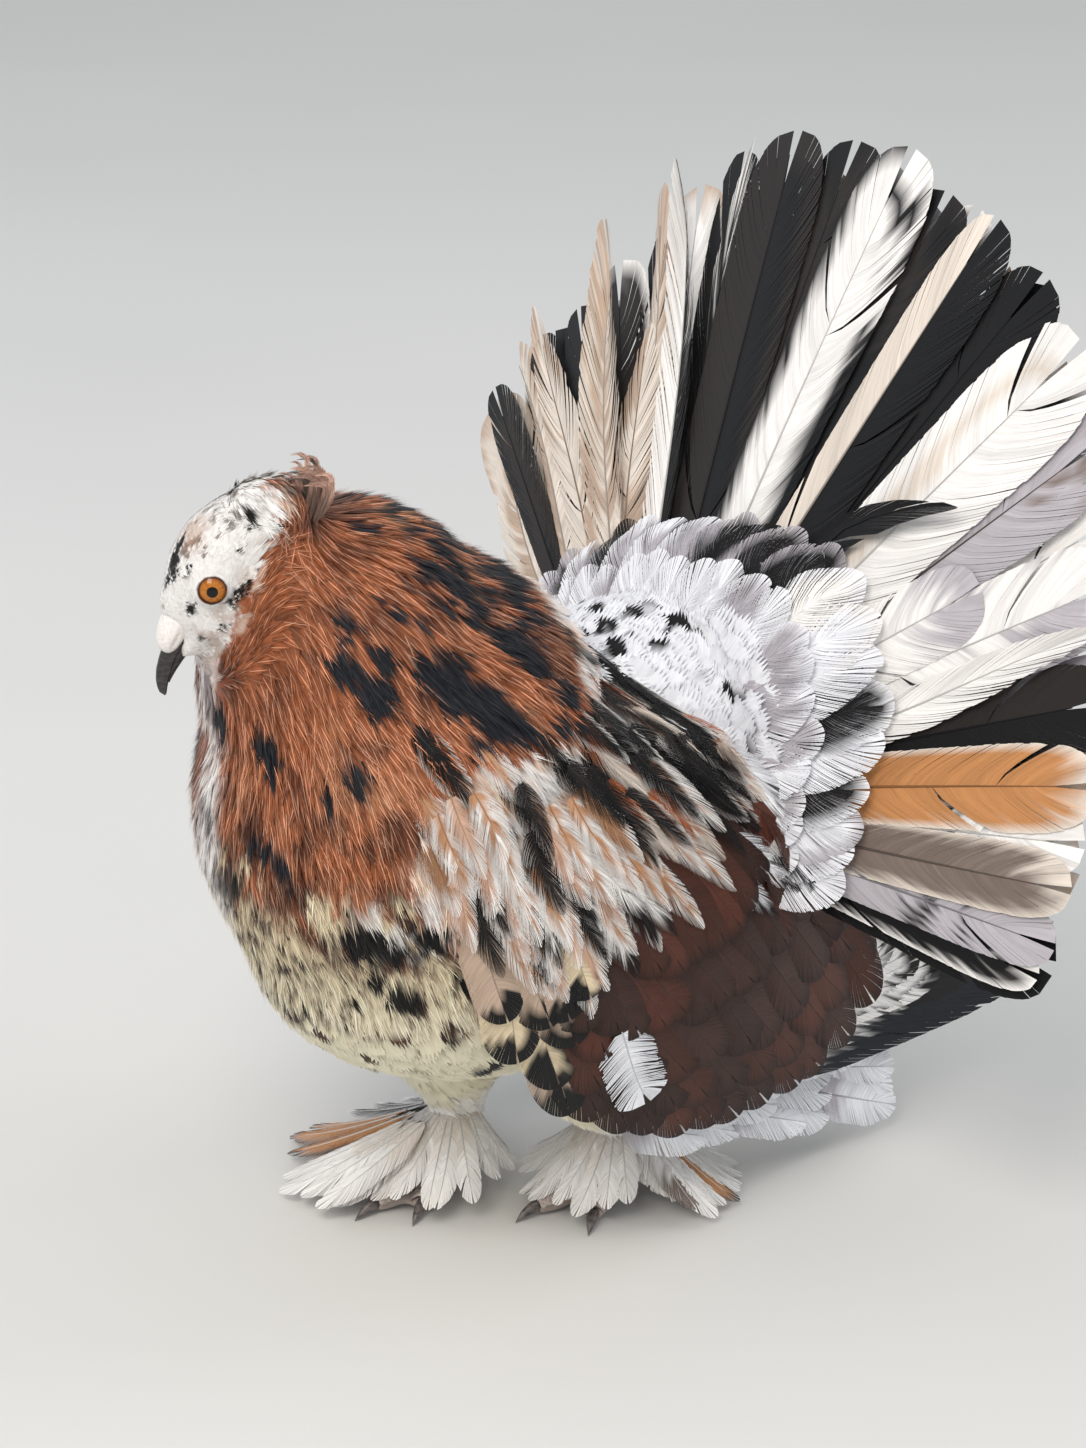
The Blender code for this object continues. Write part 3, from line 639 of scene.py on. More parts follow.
def build_skin(sizes):
    """One closed skin moulded from the flesh nodes, lying below them by the coat's depth."""
    bm, owners, whole = flesh_shapes()
    mounds = [((0.0, EYE_OUT * side, 0.0), (LID_MOUND,) * 3) for side in SIDES.values()]
    for centre_at, radii in (*CHINS, *mounds):
        for vert in bmesh.ops.create_uvsphere(bm, u_segments=24, v_segments=16, radius=1)["verts"]:
            vert.co = Vector(to_model(on_head(np.array(centre_at) + np.array(vert.co) * radii)))
    mesh = bpy.data.meshes.new("skin")
    bm.to_mesh(mesh)
    bm.free()
    holder = placed("skin", mesh)
    remesh = holder.modifiers.new("mould", "REMESH")
    remesh.mode = "VOXEL"
    remesh.voxel_size = sizes.skin_grain * MM
    smooth = holder.modifiers.new("smooth", "SMOOTH")
    smooth.factor = 0.5
    smooth.iterations = 9
    moulded = settle(holder, "skin")
    keep_outer_shell(moulded)

    points = mesh_points(moulded)
    kinds = np.array([kind_of(owners[whole.find_nearest(p)[2]]) for p in points.tolist()])
    at = to_drawing(points)
    kinds[(kinds == "wing") & (at[:, 1] > 60) & (at[:, 2] > 106)] = "tail_coverts"
    edges = np.zeros(len(moulded.edges) * 2, np.int32)
    moulded.edges.foreach_get("vertices", edges)
    edges = edges.reshape(-1, 2)
    depth = blur(np.array([COAT_DEPTHS[k] for k in kinds]) + JOINING_GROWTH, edges, 5)
    points = points - mesh_normals(moulded) * (depth * MM)[:, None]
    points[:, 2] = np.maximum(points[:, 2], FLOOR_GAP * MM)
    points = to_model(open_eyes(to_drawing(points)))
    moulded.vertices.foreach_set("co", points.astype(np.float32).ravel())
    moulded.update()
    moulded.shade_smooth()
    moulded.materials.clear()
    moulded.materials.append(skin_material())

    drawn = to_drawing(points)
    colours = markings(drawn, lie_of(drawn, mesh_normals(moulded)))
    colours = mix(colours, wing_tones(drawn), blur((kinds == "wing").astype(float), edges, 2))
    colours = mix(colours, "toe", blur((kinds == "foot").astype(float), edges, 2))
    paint_vertices(moulded, colours)
    MADE.update(skin=holder, kinds=kinds, skin_points=drawn)
    finish_piece(holder, "cream_plumage", FLESH)


def open_eyes(points):
    """Draws the skin in behind the front of each eyeball."""
    head = in_head(points)
    away = np.hypot(head[:, 0], head[:, 2])
    for side in SIDES.values():
        near = (away < 4.0) & (head[:, 1] * side > 6)
        deepest = EYE_OUT + np.sqrt(np.maximum(0, EYE_RADIUS ** 2 - away[near] ** 2)) - 0.8
        head[near, 1] = np.minimum(head[near, 1] * side, deepest) * side
    return on_head(head)


def keep_outer_shell(mesh):
    """Drops the small closed shells that the mould leaves inside."""
    bm = bmesh.new()
    bm.from_mesh(mesh)
    left, shells = set(bm.verts), []
    while left:
        stack, shell = [left.pop()], []
        while stack:
            vert = stack.pop()
            shell.append(vert)
            for edge in vert.link_edges:
                other = edge.other_vert(vert)
                if other in left:
                    left.remove(other)
                    stack.append(other)
        shells.append(shell)
    shells.sort(key=len)
    for shell in shells[:-1]:
        bmesh.ops.delete(bm, geom=shell, context="VERTS")
    bm.to_mesh(mesh)
    bm.free()


def wing_tones(points):
    """Colours of the folded wing under its feathers: pale in front and above, chocolate behind and below."""
    _, y, z = points.T
    ragged = noise(points, 5, 43) - 0.5
    pale = mix("peach", "white", (noise(points, 6, 45) - 0.4) * 3)
    back = smooth_step((y * 0.6 - (z - 112) + ragged * 16) / 14)
    return mix(pale, "chocolate", back * (1 - ramp(y, 44, 8) * ramp(z, 96, 8)))


def unwrap_roots():
    """A coarse copy of the skin with an unwrap of its own shape, for the places of the tufts' colours."""
    mesh = MADE["skin"].data.copy()
    holder = placed("unwrap", mesh)
    holder.modifiers.new("thin", "DECIMATE").ratio = min(1.0, UNWRAP_FACES / max(1, len(mesh.polygons)))
    settle(holder, "unwrap")
    bpy.context.view_layer.objects.active = holder
    for other in bpy.context.selected_objects:
        other.select_set(False)
    holder.select_set(True)
    bpy.ops.object.mode_set(mode="EDIT")
    bpy.ops.mesh.select_all(action="SELECT")
    bpy.ops.uv.smart_project(angle_limit=math.radians(66), island_margin=0.004)
    bpy.ops.object.mode_set(mode="OBJECT")
    return holder


class Book:
    """Collects many feathers into one mesh, each with its own rectangle of the OFBake map."""

    def __init__(self, feathers):
        self.columns = max(1, math.ceil(math.sqrt(feathers)))
        self.number = 0
        self.count = 0
        self.points, self.faces, self.tones, self.grains, self.places = [], [], [], [], []

    def next_feather(self):
        self.number += 1
        return self.number - 1

    def add(self, points, faces, tones, grains, along, across, cell):
        points[:, 2] = np.maximum(points[:, 2], FLOOR_GAP)
        self.points.append(points)
        self.faces.append(faces + self.count)
        self.tones.append(tones)
        self.grains.append(grains)
        column, row = cell % self.columns, cell // self.columns
        u = (column + 0.08 + 0.84 * np.clip(along, 0, 1)) / self.columns
        v = (row + 0.5 + 0.42 * np.clip(across, -1, 1)) / self.columns
        self.places.append(np.stack([u, v], 1))
        self.count += len(points)

    def finish(self, name, material, slot, nodes=()):
        points, faces = np.concatenate(self.points), np.concatenate(self.faces)
        mesh = bpy.data.meshes.new(name)
        mesh.vertices.add(len(points))
        mesh.vertices.foreach_set("co", to_model(points).astype(np.float32).ravel())
        mesh.loops.add(faces.size)
        mesh.loops.foreach_set("vertex_index", faces.astype(np.int32).ravel())
        mesh.polygons.add(len(faces))
        mesh.polygons.foreach_set("loop_start", np.arange(0, faces.size, 4, dtype=np.int32))
        mesh.update(calc_edges=True)
        mesh.shade_smooth()
        paint_vertices(mesh, np.concatenate(self.tones))
        set_values(mesh, "grain", np.pad(np.concatenate(self.grains), ((0, 0), (0, 1))))
        unwrap = mesh.uv_layers.new(name="OFBake")
        unwrap.data.foreach_set("uv", np.concatenate(self.places)[faces.ravel()].astype(np.float32).ravel())
        mesh.materials.append(material)
        finish_piece(placed(name, mesh), slot, nodes)


# Each kind of vane: its numbers of barbs and of points along a barb, how far the barbs slant, how ragged
# the rim is, its splits, how pointed the barbs are, how far it arches, the shaft's half width, where the
# vane starts, where its tip starts to round and how, and how ruffled it is
LOOK_FIELDS = ("barbs", "steps", "slant", "rag", "splits", "point", "camber", "shaft", "start", "round")
LOOK_FIELDS += ("squash", "ruffle")
LOOKS = {
    name: dict(zip(LOOK_FIELDS, values))
    for name, values in {
        "rectrix": (84, 4, 0.13, 0.03, 1, 0.05, 0.5, 0.8, 0.16, 0.84, 2.6, 0.05),
        "worn": (64, 4, 0.14, 0.14, 3, 0.1, 2.8, 0.7, 0.16, 0.52, 1.45, 0.18),
        "remex": (56, 3, 0.16, 0.04, 1, 0.08, 0.9, 0.6, 0.14, 0.78, 2.0, 0.05),
        "wing_covert": (50, 3, 0.2, 0.02, 0, 0.03, 1.6, 0.3, 0.16, 0.7, 2.1, 0.03),
        "scapular": (58, 3, 0.3, 0.26, 3, 0.6, 0.9, 0.22, 0.2, 0.45, 1.45, 0.2),
        "soft_covert": (104, 3, 0.3, 0.16, 1, 0.16, 2.2, 0.12, 0.2, 0.45, 1.8, 0.07),
        "leg_feather": (46, 3, 0.2, 0.08, 2, 0.25, 1.3, 0.4, 0.2, 0.66, 1.8, 0.1),
        "ribbon": (24, 2, 0.16, 0.2, 1, 0.4, 0.3, 0.2, 0.05, 0.5, 1.2, 0.08),
    }.items()
}


def plain(s, t, side):
    return np.full(len(s), -1.0)


def painted(base, other=None, where=plain, edge=0.06, rough=0.35, variety=0.12, length=60.0):
    """A feather's colours: base, with the other where the field is above 0, ragged along the barbs."""
    first = tone(base)
    second = first if other is None else tone(other)

    def colours(s, t, side, root, seed):
        along_barb = np.stack([root * length / 2.5, t * 1.1, np.full(len(s), seed * 3.7 + side * 11)], 1)
        ragged = noise(along_barb, 1.0, seed)
        share = smooth_step((where(s, t, side) + (ragged - 0.5) * rough) / edge + 0.5)
        made = first + (second - first) * share[:, None]
        return made * (1 + (noise(along_barb * (0.5, 0.6, 1), 1.0, seed + 9) - 0.5)[:, None] * variety * 2)

    return colours


def strips(s, t, across, along, seed, place):
    """Noise over a feather, with so many waves across the barbs and along them."""
    return noise(np.stack([s * across, t * along, np.full(len(s), float(place))], 1), 1.0, seed)


def feather(book, spine, faces_out, half, kind, colours, seed, shaft_tone=None, curl=0.0, **changes):
    """Adds one feather to the book: a shaft along the spine with a vane of barbs on each side.

    spine and faces_out are points and outward normals along it, and half is the vane's half width, or
    one for each side.
    """
    look = {**LOOKS[kind], **changes}
    taper = 0.55 if kind in ("rectrix", "worn") else 1.0
    rng = np.random.default_rng(seed)
    cell = book.next_feather()
    spine = np.asarray(spine, float)
    tangent = unit(np.gradient(spine, axis=0))
    across = unit(np.cross(faces_out, tangent))
    face = unit(np.cross(tangent, across))
    steps = np.linalg.norm(np.diff(spine, axis=0), axis=1)
    length = steps.sum()
    places = np.concatenate([[0], np.cumsum(steps)]) / length

    def at(values, share):
        share = np.clip(share, 0, 1)
        return np.stack([np.interp(share, places, values[:, k]) for k in range(3)], -1)

    widths = half if isinstance(half, tuple) else (half, half)
    number, columns = look["barbs"], look["steps"]
    start, slant = look["start"], look["slant"]
    t = np.linspace(0, 1, columns + 1)[None, :, None]
    for side, width in zip((1, -1), widths):
        ends = start + (1 - start) * np.linspace(0, 1, number + 1) ** 0.92
        shift = np.zeros(number)
        for _ in range(look["splits"]):
            place, gap = rng.uniform(number * 0.25, number * 0.97), rng.uniform(0.3, 1.0) * 0.022
            away = np.arange(number) + 0.5 - place
            shift += gap * np.sign(away) * np.exp(-np.abs(away) / 5)
        worn = 1 - look["rag"] * rng.random(number) ** 2.2 * (0.35 + 0.65 * np.linspace(0, 1, number))
        pair = np.stack([ends[:-1], ends[1:]], 1)[:, None, :] + np.zeros((1, columns + 1, 1))
        middle = pair.mean(2, keepdims=True)
        tight = look["point"] * t ** 2.5 * (0.75 + 0.25 * rng.random((number, 1, 1)))
        pair = pair + (middle - pair) * tight
        outer = np.clip(pair + shift[:, None, None] * t, 0, 1)
        rise = np.clip(pair / 0.3, 0, 1) ** 0.5 * (taper + (1 - taper) * np.clip(pair / 0.8, 0, 1))
        over = np.clip((pair - look["round"]) / (1 - look["round"]), 0, 1)
        outline = width * rise * (1 - over ** look["squash"]) ** (1 / look["squash"]) * worn[:, None, None]
        s = outer - slant * (1 - t ** 1.25)
        s = np.maximum(s, 0.02)
        distance = outline * t ** 0.9
        lift = -look["camber"] * (distance / max(width, 0.1)) ** 2
        lift = lift + rng.normal(0, 1, (number, 1, 1)) * look["ruffle"] * t ** 1.5
        lift = lift + np.array([0.04, -0.04])[None, None, :] * t
        lift = lift + curl * t ** 2 * (0.6 + 0.6 * np.clip(pair, 0, 1)) * rng.uniform(
            0.9, 1.1, (number, 1, 1),
        )
        s_flat, reach = s.ravel(), np.broadcast_to(distance, s.shape).ravel()
        points = at(spine, s_flat) + at(across, s_flat) * (reach * side)[:, None]
        points += at(face, s_flat) * np.broadcast_to(lift, s.shape).ravel()[:, None]
        index = np.arange(number * (columns + 1) * 2).reshape(number, columns + 1, 2)
        quads = np.stack([index[:, :-1, 0], index[:, 1:, 0], index[:, 1:, 1], index[:, :-1, 1]], -1).reshape(
            -1, 4,
        )
        if side > 0:
            quads = quads[:, ::-1]
        share = np.broadcast_to(t, s.shape).ravel()
        root = np.broadcast_to(np.stack([ends[:-1], ends[1:]], 1)[:, None, :], s.shape).ravel()
        shown = colours(s_flat, share, side, root, seed)
        shown = shown * (1 + rng.normal(0, 0.05, (number, 1, 1)) + np.zeros(s.shape)).reshape(-1, 1)
        grain = np.stack([root * length + seed * 7.0, share * width + side * 3], 1)
        book.add(points, quads, np.clip(shown, 0.002, 1), grain, s_flat, share * side, cell)
    rings = 12 if length > 60 else 7
    share = np.linspace(0.0, 0.985 - 0.55 * slant, rings)
    radius = (look["shaft"] * (1 - share) ** 0.8 + 0.1)[:, None]
    centre = at(spine, share)
    corners = [centre + at(across, share) * radius * 0.7, centre + at(face, share) * radius * 0.8]
    corners += [centre - at(across, share) * radius * 0.7, centre - at(face, share) * radius * 0.8]
    ring = np.stack(corners, 1).reshape(-1, 3)
    index = np.arange(rings * 4).reshape(rings, 4)
    around = np.roll(index, -1, axis=1)
    quads = np.stack([index[:-1], index[1:], around[1:], around[:-1]], -1).reshape(-1, 4)
    if shaft_tone is None:
        shown = colours(share.repeat(4), np.zeros(rings * 4), 1, share.repeat(4), seed) * 0.6 + 0.015
    else:
        shown = np.broadcast_to(np.asarray(shaft_tone), (rings * 4, 3))
    grain = np.stack([np.full(rings * 4, seed * 7.0), share.repeat(4) * 20], 1)
    book.add(ring, quads, shown, grain, share.repeat(4), np.zeros(rings * 4), cell)


def tip(k):
    return lambda s, t, side: s - k


def base(k):
    return lambda s, t, side: k - s


def rim(k):
    return lambda s, t, side: np.maximum(t, (s - 0.45) * 1.7) - k


def one_side(which, k=0.0):
    return lambda s, t, side: np.full(len(s), 1.0 if side == which else -1.0) * (0.6 + 0 * t) + k * t


def centre(k):
    return lambda s, t, side: k - np.maximum(t, (s - 0.3) * 0.9)


def cloud(k, seed):
    def field(s, t, side):
        return noise(np.stack([s * 5, t * 1.6 + side, np.full(len(s), seed)], 1), 1.0, seed) - k

    return field


HOOKED = 0.71                                # reach of the one feather whose tip hooks forward
# The fan's front feathers from the bird's right to its left: angle, reach against the fan's outline,
# half widths to the bird's right and left, kind of vane, colours, and how far in front of the fan it lies
FRONT_FEATHERS = (
    (147.0, 0.90, 12, 12, "worn", ("cream_white", "tan", cloud(0.5, 3)), 1.5),
    (142.5, 0.97, 7, 8, "rectrix", ("charcoal", "black", cloud(0.5, 4)), 2.4),
    (139.0, 1.03, 8, 9, "worn", ("cream_white", "tan", cloud(0.5, 5)), 3.0),
    (135.5, 0.98, 9, 9, "rectrix", ("black", None, plain), 1.0),
    (131.5, 1.03, 8, 8, "worn", ("tan", "cream_white", cloud(0.45, 7)), 3.2),
    (127.5, 0.96, 9, 9, "rectrix", ("black", "charcoal", centre(0.12)), 1.6),
    (123.5, 1.04, 8, 9, "worn", ("cream_white", "tan", cloud(0.5, 9)), 3.4),
    (119.0, 0.80, 12, 10, "worn", ("tan", "cream_white", cloud(0.48, 11)), 4.4),
    (116.0, 1.03, 8, 7, "worn", ("cream_white", "tan", tip(0.8)), 1.8),
    (110.5, 1.01, 7, 9, "worn", ("white", "black", one_side(-1)), 2.6),
    (106.0, 1.00, 9, 9, "rectrix", ("black", None, plain), 1.2),
    (103.5, 1.01, 6, 6, "worn", ("black", "white", tip(0.86)), 2.2),
    (98.5, 1.01, 16, 16, "rectrix", ("charcoal", "black", one_side(-1, -0.9)), 3.0),
    (92.5, 1.00, 14, 17, "rectrix", ("charcoal", "black", tip(0.9)), 2.0),
    (86.5, 1.01, 15, 17, "rectrix", ("white", "black", None), 3.4),
    (80.0, 0.98, 17, 16, "rectrix", ("black", "charcoal", cloud(0.7, 13)), 2.2),
    (73.5, 1.00, 10, 15, "rectrix", ("cream_white", "black", one_side(-1)), 3.6),
    (67.0, 1.00, 14, 17, "rectrix", ("black", None, plain), 2.6),
    (66.0, HOOKED, 7, 9, "rectrix", ("black", None, plain), 6.0),
    (58.5, 1.01, 17, 19, "rectrix", ("white", "cream_white", None), 3.2),
    (50.5, 1.00, 16, 15, "rectrix", ("grey_brown", "grey", cloud(0.5, 15)), 1.6),
    (45.0, 0.74, 12, 13, "rectrix", ("white", "grey", tip(0.84)), 3.8),
    (38.0, 1.00, 16, 15, "rectrix", ("white", "grey", cloud(0.6, 17)), 2.8),
    (31.0, 1.01, 7, 9, "worn", ("white", "black", base(0.3)), 3.6),
    (27.0, 1.00, 13, 14, "rectrix", ("black", "charcoal", one_side(1, -0.5)), 1.8),
    (19.5, 1.00, 12, 13, "rectrix", ("orange", "cream_white", rim(0.86)), 3.2),
    (12.5, 1.00, 12, 11, "rectrix", ("white", "black", None), 2.2),
    (7.0, 1.00, 10, 10, "rectrix", ("grey_brown", "cream_white", rim(0.8)), 3.2),
    (2.0, 0.99, 10, 9, "rectrix", ("grey", "black", None), 2.0),
    (-1.5, 0.97, 9, 8, "rectrix", ("black", "white", rim(0.8)), 0.8),
)


def white_with_black_edge(s, t, side):
    """Black along the rim towards the bird's right, and black dashes near the tip on the other side."""
    if side > 0:
        return t - 0.74 - 0.2 * (s > 0.88)
    dashes = (strips(s, t, 34, 2, 51, 2) - 0.62) * 2
    return np.where(s > 0.72, dashes * (t > 0.3) - 0.15, (0.72 - s) * 0.5 + (t - 0.7) * 0.8)


def cream_stripes(s, t, side):
    return (strips(t, s, 9, 1.2, 53, 4) - 0.6) * 2 if side > 0 else s * 0 - 0.5


def dark_lines(s, t, side):
    return (strips(s, t, 30, 0.8, 55, 6) - 0.74) * 3


def build_front_tail(sizes, material):
    """The fan's front row, as the photo shows it."""
    front = Book(len(FRONT_FEATHERS))
    share = np.linspace(0, 1, 15)
    for number, (angle, reach, right, left, kind, (first, second, where), ahead) in enumerate(FRONT_FEATHERS):
        worn, hooked = kind == "worn", reach == HOOKED
        radii = np.linspace(FAN_ROOT, fan_radius(angle) * reach, 15)
        bend = 2.4 * math.sin(number * 1.7) * share ** 2
        if worn:
            bend = bend + 7.0 * np.sin(share * 4.4 + number) * share ** 1.5
        offset = ahead * (0.4 + 0.7 * share) + 0.6 - 2.2 * share ** 3
        angles = angle + np.degrees(bend / np.maximum(radii, 1))
        changes = {"barbs": int(LOOKS[kind]["barbs"] * sizes.barbs)}
        if worn:
            changes.update(curl=5.0 * math.sin(number * 2.3))
        if hooked:
            offset = offset + 22 * np.clip(share - 0.62, 0, 1) ** 1.3
            angles = angles - 46 * np.clip(share - 0.66, 0, 1) ** 1.2
            changes.update(round=0.4, squash=1.3)
        field = where or FIELDS[angle]
        colours = painted(first, second, field, edge=0.16, rough=0.5 if worn else 0.25, length=150)
        shaft = tone("white") * 0.6 if first == "white" else tone(first) * 0.45 + 0.004
        wider = 1.3 if worn and angle > 112 else 1.0
        half = (right * wider, left * wider)
        spine = fan_points(angles, radii, offset)
        feather(front, spine, fan_normal(angles), half, kind, colours, 100 + number, shaft, **changes)
    front.finish("tail_feathers_front", material, "black_plumage", ["tail_fan"])


def build_rear_tail(sizes, material):
    """A plainer row behind the front one, which fills the fan."""
    count = 27
    rear = Book(count)
    share = np.linspace(0, 1, 13)
    for number in range(count):
        angle = -1 + 146.5 * number / (count - 1)
        radii = np.linspace(FAN_ROOT, fan_radius(angle) * (0.985 - 0.03 * (number % 2)), 13)
        offset = -1.6 - 1.0 * (number % 2) * share - 2.2 * share ** 3
        tones = BACK_TONES if angle < 112 else ("black", "charcoal", "cream_white")
        shade = tones[number % len(tones)]
        other = "white" if shade in ("black", "charcoal") else "tan"
        kind = "worn" if 112 < angle < 146 and number % 2 else "rectrix"
        colours = painted(shade, other, rim(0.93) if number % 3 else base(0.25), edge=0.14, length=150)
        spine, out = fan_points(angle, radii, offset), fan_normal(np.full(13, angle))
        shaft = tone(shade) * 0.5 + 0.01
        feather(rear, spine, out, 13.5, kind, colours, 200 + number, shaft, barbs=int(40 * sizes.barbs))
    rear.finish("tail_feathers_rear", material, "black_plumage")


# Patterns of the feathers at these angles
FIELDS = {86.5: white_with_black_edge, 58.5: cream_stripes, 12.5: dark_lines, 2.0: dark_lines}
BACK_TONES = ("black", "charcoal", "white", "black", "cream_white", "charcoal", "grey", "black", "white")


def build_tail(sizes):
    """The fan, in two rows of long feathers."""
    material = feather_material("flight_feather", 0.48, 0.6, 0.11)
    build_front_tail(sizes, material)
    build_rear_tail(sizes, material)


def cushion(radii, reach, rise, turn, run):
    """How far the soft feathers' cushion stands out from the fan, from its root to its reach."""
    share = np.clip((radii - 10) / (reach - 10), 0, 1)
    ends = math.sin(math.pi * min(max(turn / run, 0.03), 0.97)) ** 0.35
    return 3 + rise * ends * np.sqrt(np.maximum(0, 1 - share ** 2.4))


# Soft feathers over the roots of the fan, outer row, from the bird's left to its right: angle, colour
# inside, colour of the fringe, and where the fringe starts. A grey inside is partly the feather's own
# grey and partly painted shade towards its base
COVERT_ROW = (
    (-2, "snow", "snow", 0.8), (5, "grey", "snow", 0.6), (12, "snow", "grey", 0.8),
    (19, "black", "snow", 0.66), (26, "snow", "snow", 0.8), (33, "black", "snow", 0.62),
    (40, "snow", "snow", 0.7), (47, "snow", "white", 0.7), (54, "white", "snow", 0.7),
    (62, "black", "grey", 0.78), (69, "black", "grey", 0.7), (76, "grey", "black", 0.5),
    (84, "black", "grey", 0.6), (92, "grey", "snow", 0.7), (100, "grey", "snow", 0.6),
    (109, "grey", "snow", 0.7), (118, "black", "charcoal", 0.85), (126, "grey", "snow", 0.6),
    (134, "charcoal", "grey", 0.6), (142, "grey", "snow", 0.7),
)


def build_coverts():
    """Rows of broad downy feathers in front of the fan's root and behind it."""
    rows = ((1.04, 0.44, 12.5, 1), (0.86, 0.38, 11.0, 2))
    book = Book(len(rows) * (len(COVERT_ROW) + 1))
    for reach, length, half, row in rows:
        for number, (angle, inner, fringe, edge) in enumerate(COVERT_ROW):
            rng = np.random.default_rng(row * 100 + number)
            turn = angle + (3.6 if row % 2 == 0 else 0) + rng.uniform(-1.5, 1.5)
            outer = covert_reach(turn) * (reach + rng.uniform(-0.03, 0.03))
            radii = np.linspace(max(8.0, outer - covert_reach(turn) * length), outer, 9)
            offset = cushion(radii, covert_reach(turn), COVERT_DEPTH, turn + 6, 155) - 4.2
            offset = offset + 6.0 * np.linspace(0, 1, 9) ** 0.7 + (0.5 if row == 1 else 0)
            if row == 2:
                # Grey insides here too are partly painted shade towards the base
                inner, fringe = ("snow" if rng.random() < 0.6 else "grey"), "snow"
            edge = min(0.97, edge + (0.16 if inner == "black" else 0.05))
            colours = painted(inner, fringe, rim(edge), edge=0.16, rough=0.35, variety=0.16, length=35)
            spine, out = fan_points(turn, radii, offset), fan_normal(np.full(9, turn))
            feather(book, spine, out, half, "soft_covert", colours, row * 1000 + number, curl=1.0)
    material = feather_material("soft_feather", 0.75, 0.7, 0.1, 0.15)
    book.finish("tail_covert_feathers", material, "white_plumage")

    under = Book(4 * 18)
    for row, (reach, half) in enumerate(((1.03, 13.0), (0.8, 12.0), (0.6, 11.0), (0.42, 10.0))):
        for number in range(18):
            rng = np.random.default_rng(5000 + row * 100 + number)
            turn = 143 * (number + 0.5 * (row % 2)) / 18 + rng.uniform(-1.5, 1.5)
            outer = 66 * (reach + rng.uniform(-0.04, 0.04))
            radii = np.linspace(max(8.0, outer - 28), outer, 8)
            offset = 0.6 - cushion(radii, 66, 12, turn, 145) - np.linspace(0, 3.2, 8)
            inner = "snow" if rng.random() < 0.8 else "charcoal"
            colours = painted(inner, "snow", rim(0.7), edge=0.12, rough=0.3, length=28)
            spine, out = fan_points(turn, radii, offset), -fan_normal(np.full(8, turn))
            feather(under, spine, out, half, "soft_covert", colours, 6000 + row * 100 + number, curl=1.0)
    under.finish("undertail_feathers", material, "white_plumage")


def down_back(turn):
    """The way down and back at that angle, as back and height."""
    return np.array((math.cos(turn), -math.sin(turn)))


def shoulder(first, second, where, edge, rough):
    """A loose shoulder feather's kind and colours."""
    return "scapular", painted(first, second, where, edge=edge, rough=rough, length=30)


class SideSurface:
    """How far out the bird's side stands at each distance back and height, with the folded wing on it."""

    def __init__(self, side, word):
        self.side = side
        self.wing = self.tree([f"wing_{word}"])
        self.rest = self.tree(["trunk", "neck", "tail_coverts", f"thigh_{word}"])

    @staticmethod
    def tree(names):
        points, faces = [], []
        for name in names:
            mesh = frame["nodes"][name].data
            faces += [tuple(i + len(points) for i in face.vertices) for face in mesh.polygons]
            points += [tuple(point) for point in to_drawing(mesh_points(mesh))]
        return BVHTree.FromPolygons(points, faces)

    def out(self, back, height):
        start, inwards = Vector((self.side * 200, back, height)), Vector((-self.side, 0, 0))
        hits = [tree.ray_cast(start, inwards)[0] for tree in (self.wing, self.rest)]
        reach = [hit.x * self.side for hit in hits if hit]
        near = self.wing.find_nearest(Vector((self.side * 62, back, height)))[0]
        gap = math.hypot(near.y - back, near.z - height)
        if gap < 16:
            reach.append(near.x * self.side - 0.12 * gap)
        return max(reach) if reach else 50.0

    def spine(self, end, turn, length, low, high, bow):
        """A feather's spine and normals, ending at the given place and running down and back at the turn."""
        share = np.linspace(0, 1, 10)
        along = down_back(turn)
        flat = np.array(end) - along * (length * (1 - share))[:, None]
        flat += np.array((along[1], -along[0])) * (bow * np.sin(math.pi * share))[:, None]
        out = np.array([self.out(*place) for place in flat])
        out = np.convolve(np.pad(out, 2, mode="edge"), np.ones(5) / 5, "valid")
        tilt = np.array([self.out(b, h + 4) - self.out(b, h - 4) for b, h in flat[::3]]).mean() / 8
        turned = np.array([self.out(b + 4, h) - self.out(b - 4, h) for b, h in flat[::3]]).mean() / 8
        points = np.column_stack([(out + low + (high - low) * share) * self.side, flat])
        normal = unit(np.array((self.side, -np.clip(turned, -0.8, 0.8), -np.clip(tilt, -0.8, 0.8))))
        return points, np.broadcast_to(normal, points.shape)


# Where the wing's rearmost feathers end, front to back, as back and height
WING_OUTLINE = (
    (-14, 63), (4, 52), (20, 42), (35, 37), (50, 40), (65, 38), (80, 41), (95, 48), (104, 60), (103, 76),
    (96, 92),
)
# The brown of the wing lies below this line of backs and heights, and behind its front
BROWN_LINE = ((-60, -25, -12, 0, 16, 30, 55, 80), (60, 86, 104, 116, 119, 125, 123, 112))
BROWN_FRONT = -17
# Each row of the side's feathers: its front end, their length, and how far up and forward it lies
WING_ROWS = (
    ((-14, 63), 60, 0), ((-26, 74), 50, 19), ((-36, 86), 42, 37), ((-43, 98), 34, 53), ((-48, 110), 28, 66),
    ((-52, 122), 27, 78), ((-55, 134), 27, 90), ((-57, 145), 26, 102), ((-54, 155), 26, 113),
    ((-46, 163), 25, 124), ((-34, 168), 25, 135), ((-20, 171), 25, 146), ((-8, 173), 25, 157),
)
# The black patches of the shoulder: back, height, and half sizes along each
BLACK_PATCHES = (
    (-17, 160, 17, 10), (-31, 150, 6, 6), (-29, 135, 9, 6), (4, 150, 8, 6), (-50, 116, 6, 5),
    (38, 140, 5, 9), (24, 158, 7, 5), (-44, 92, 5, 4), (-10, 178, 9, 5),
)


def flow_angle(back, height):
    """How steeply the side's feathers run down and back there."""
    return math.radians(52 + 27 * float(ramp(back, 30, -75)) - 10 * float(ramp(height, 140, 30)))


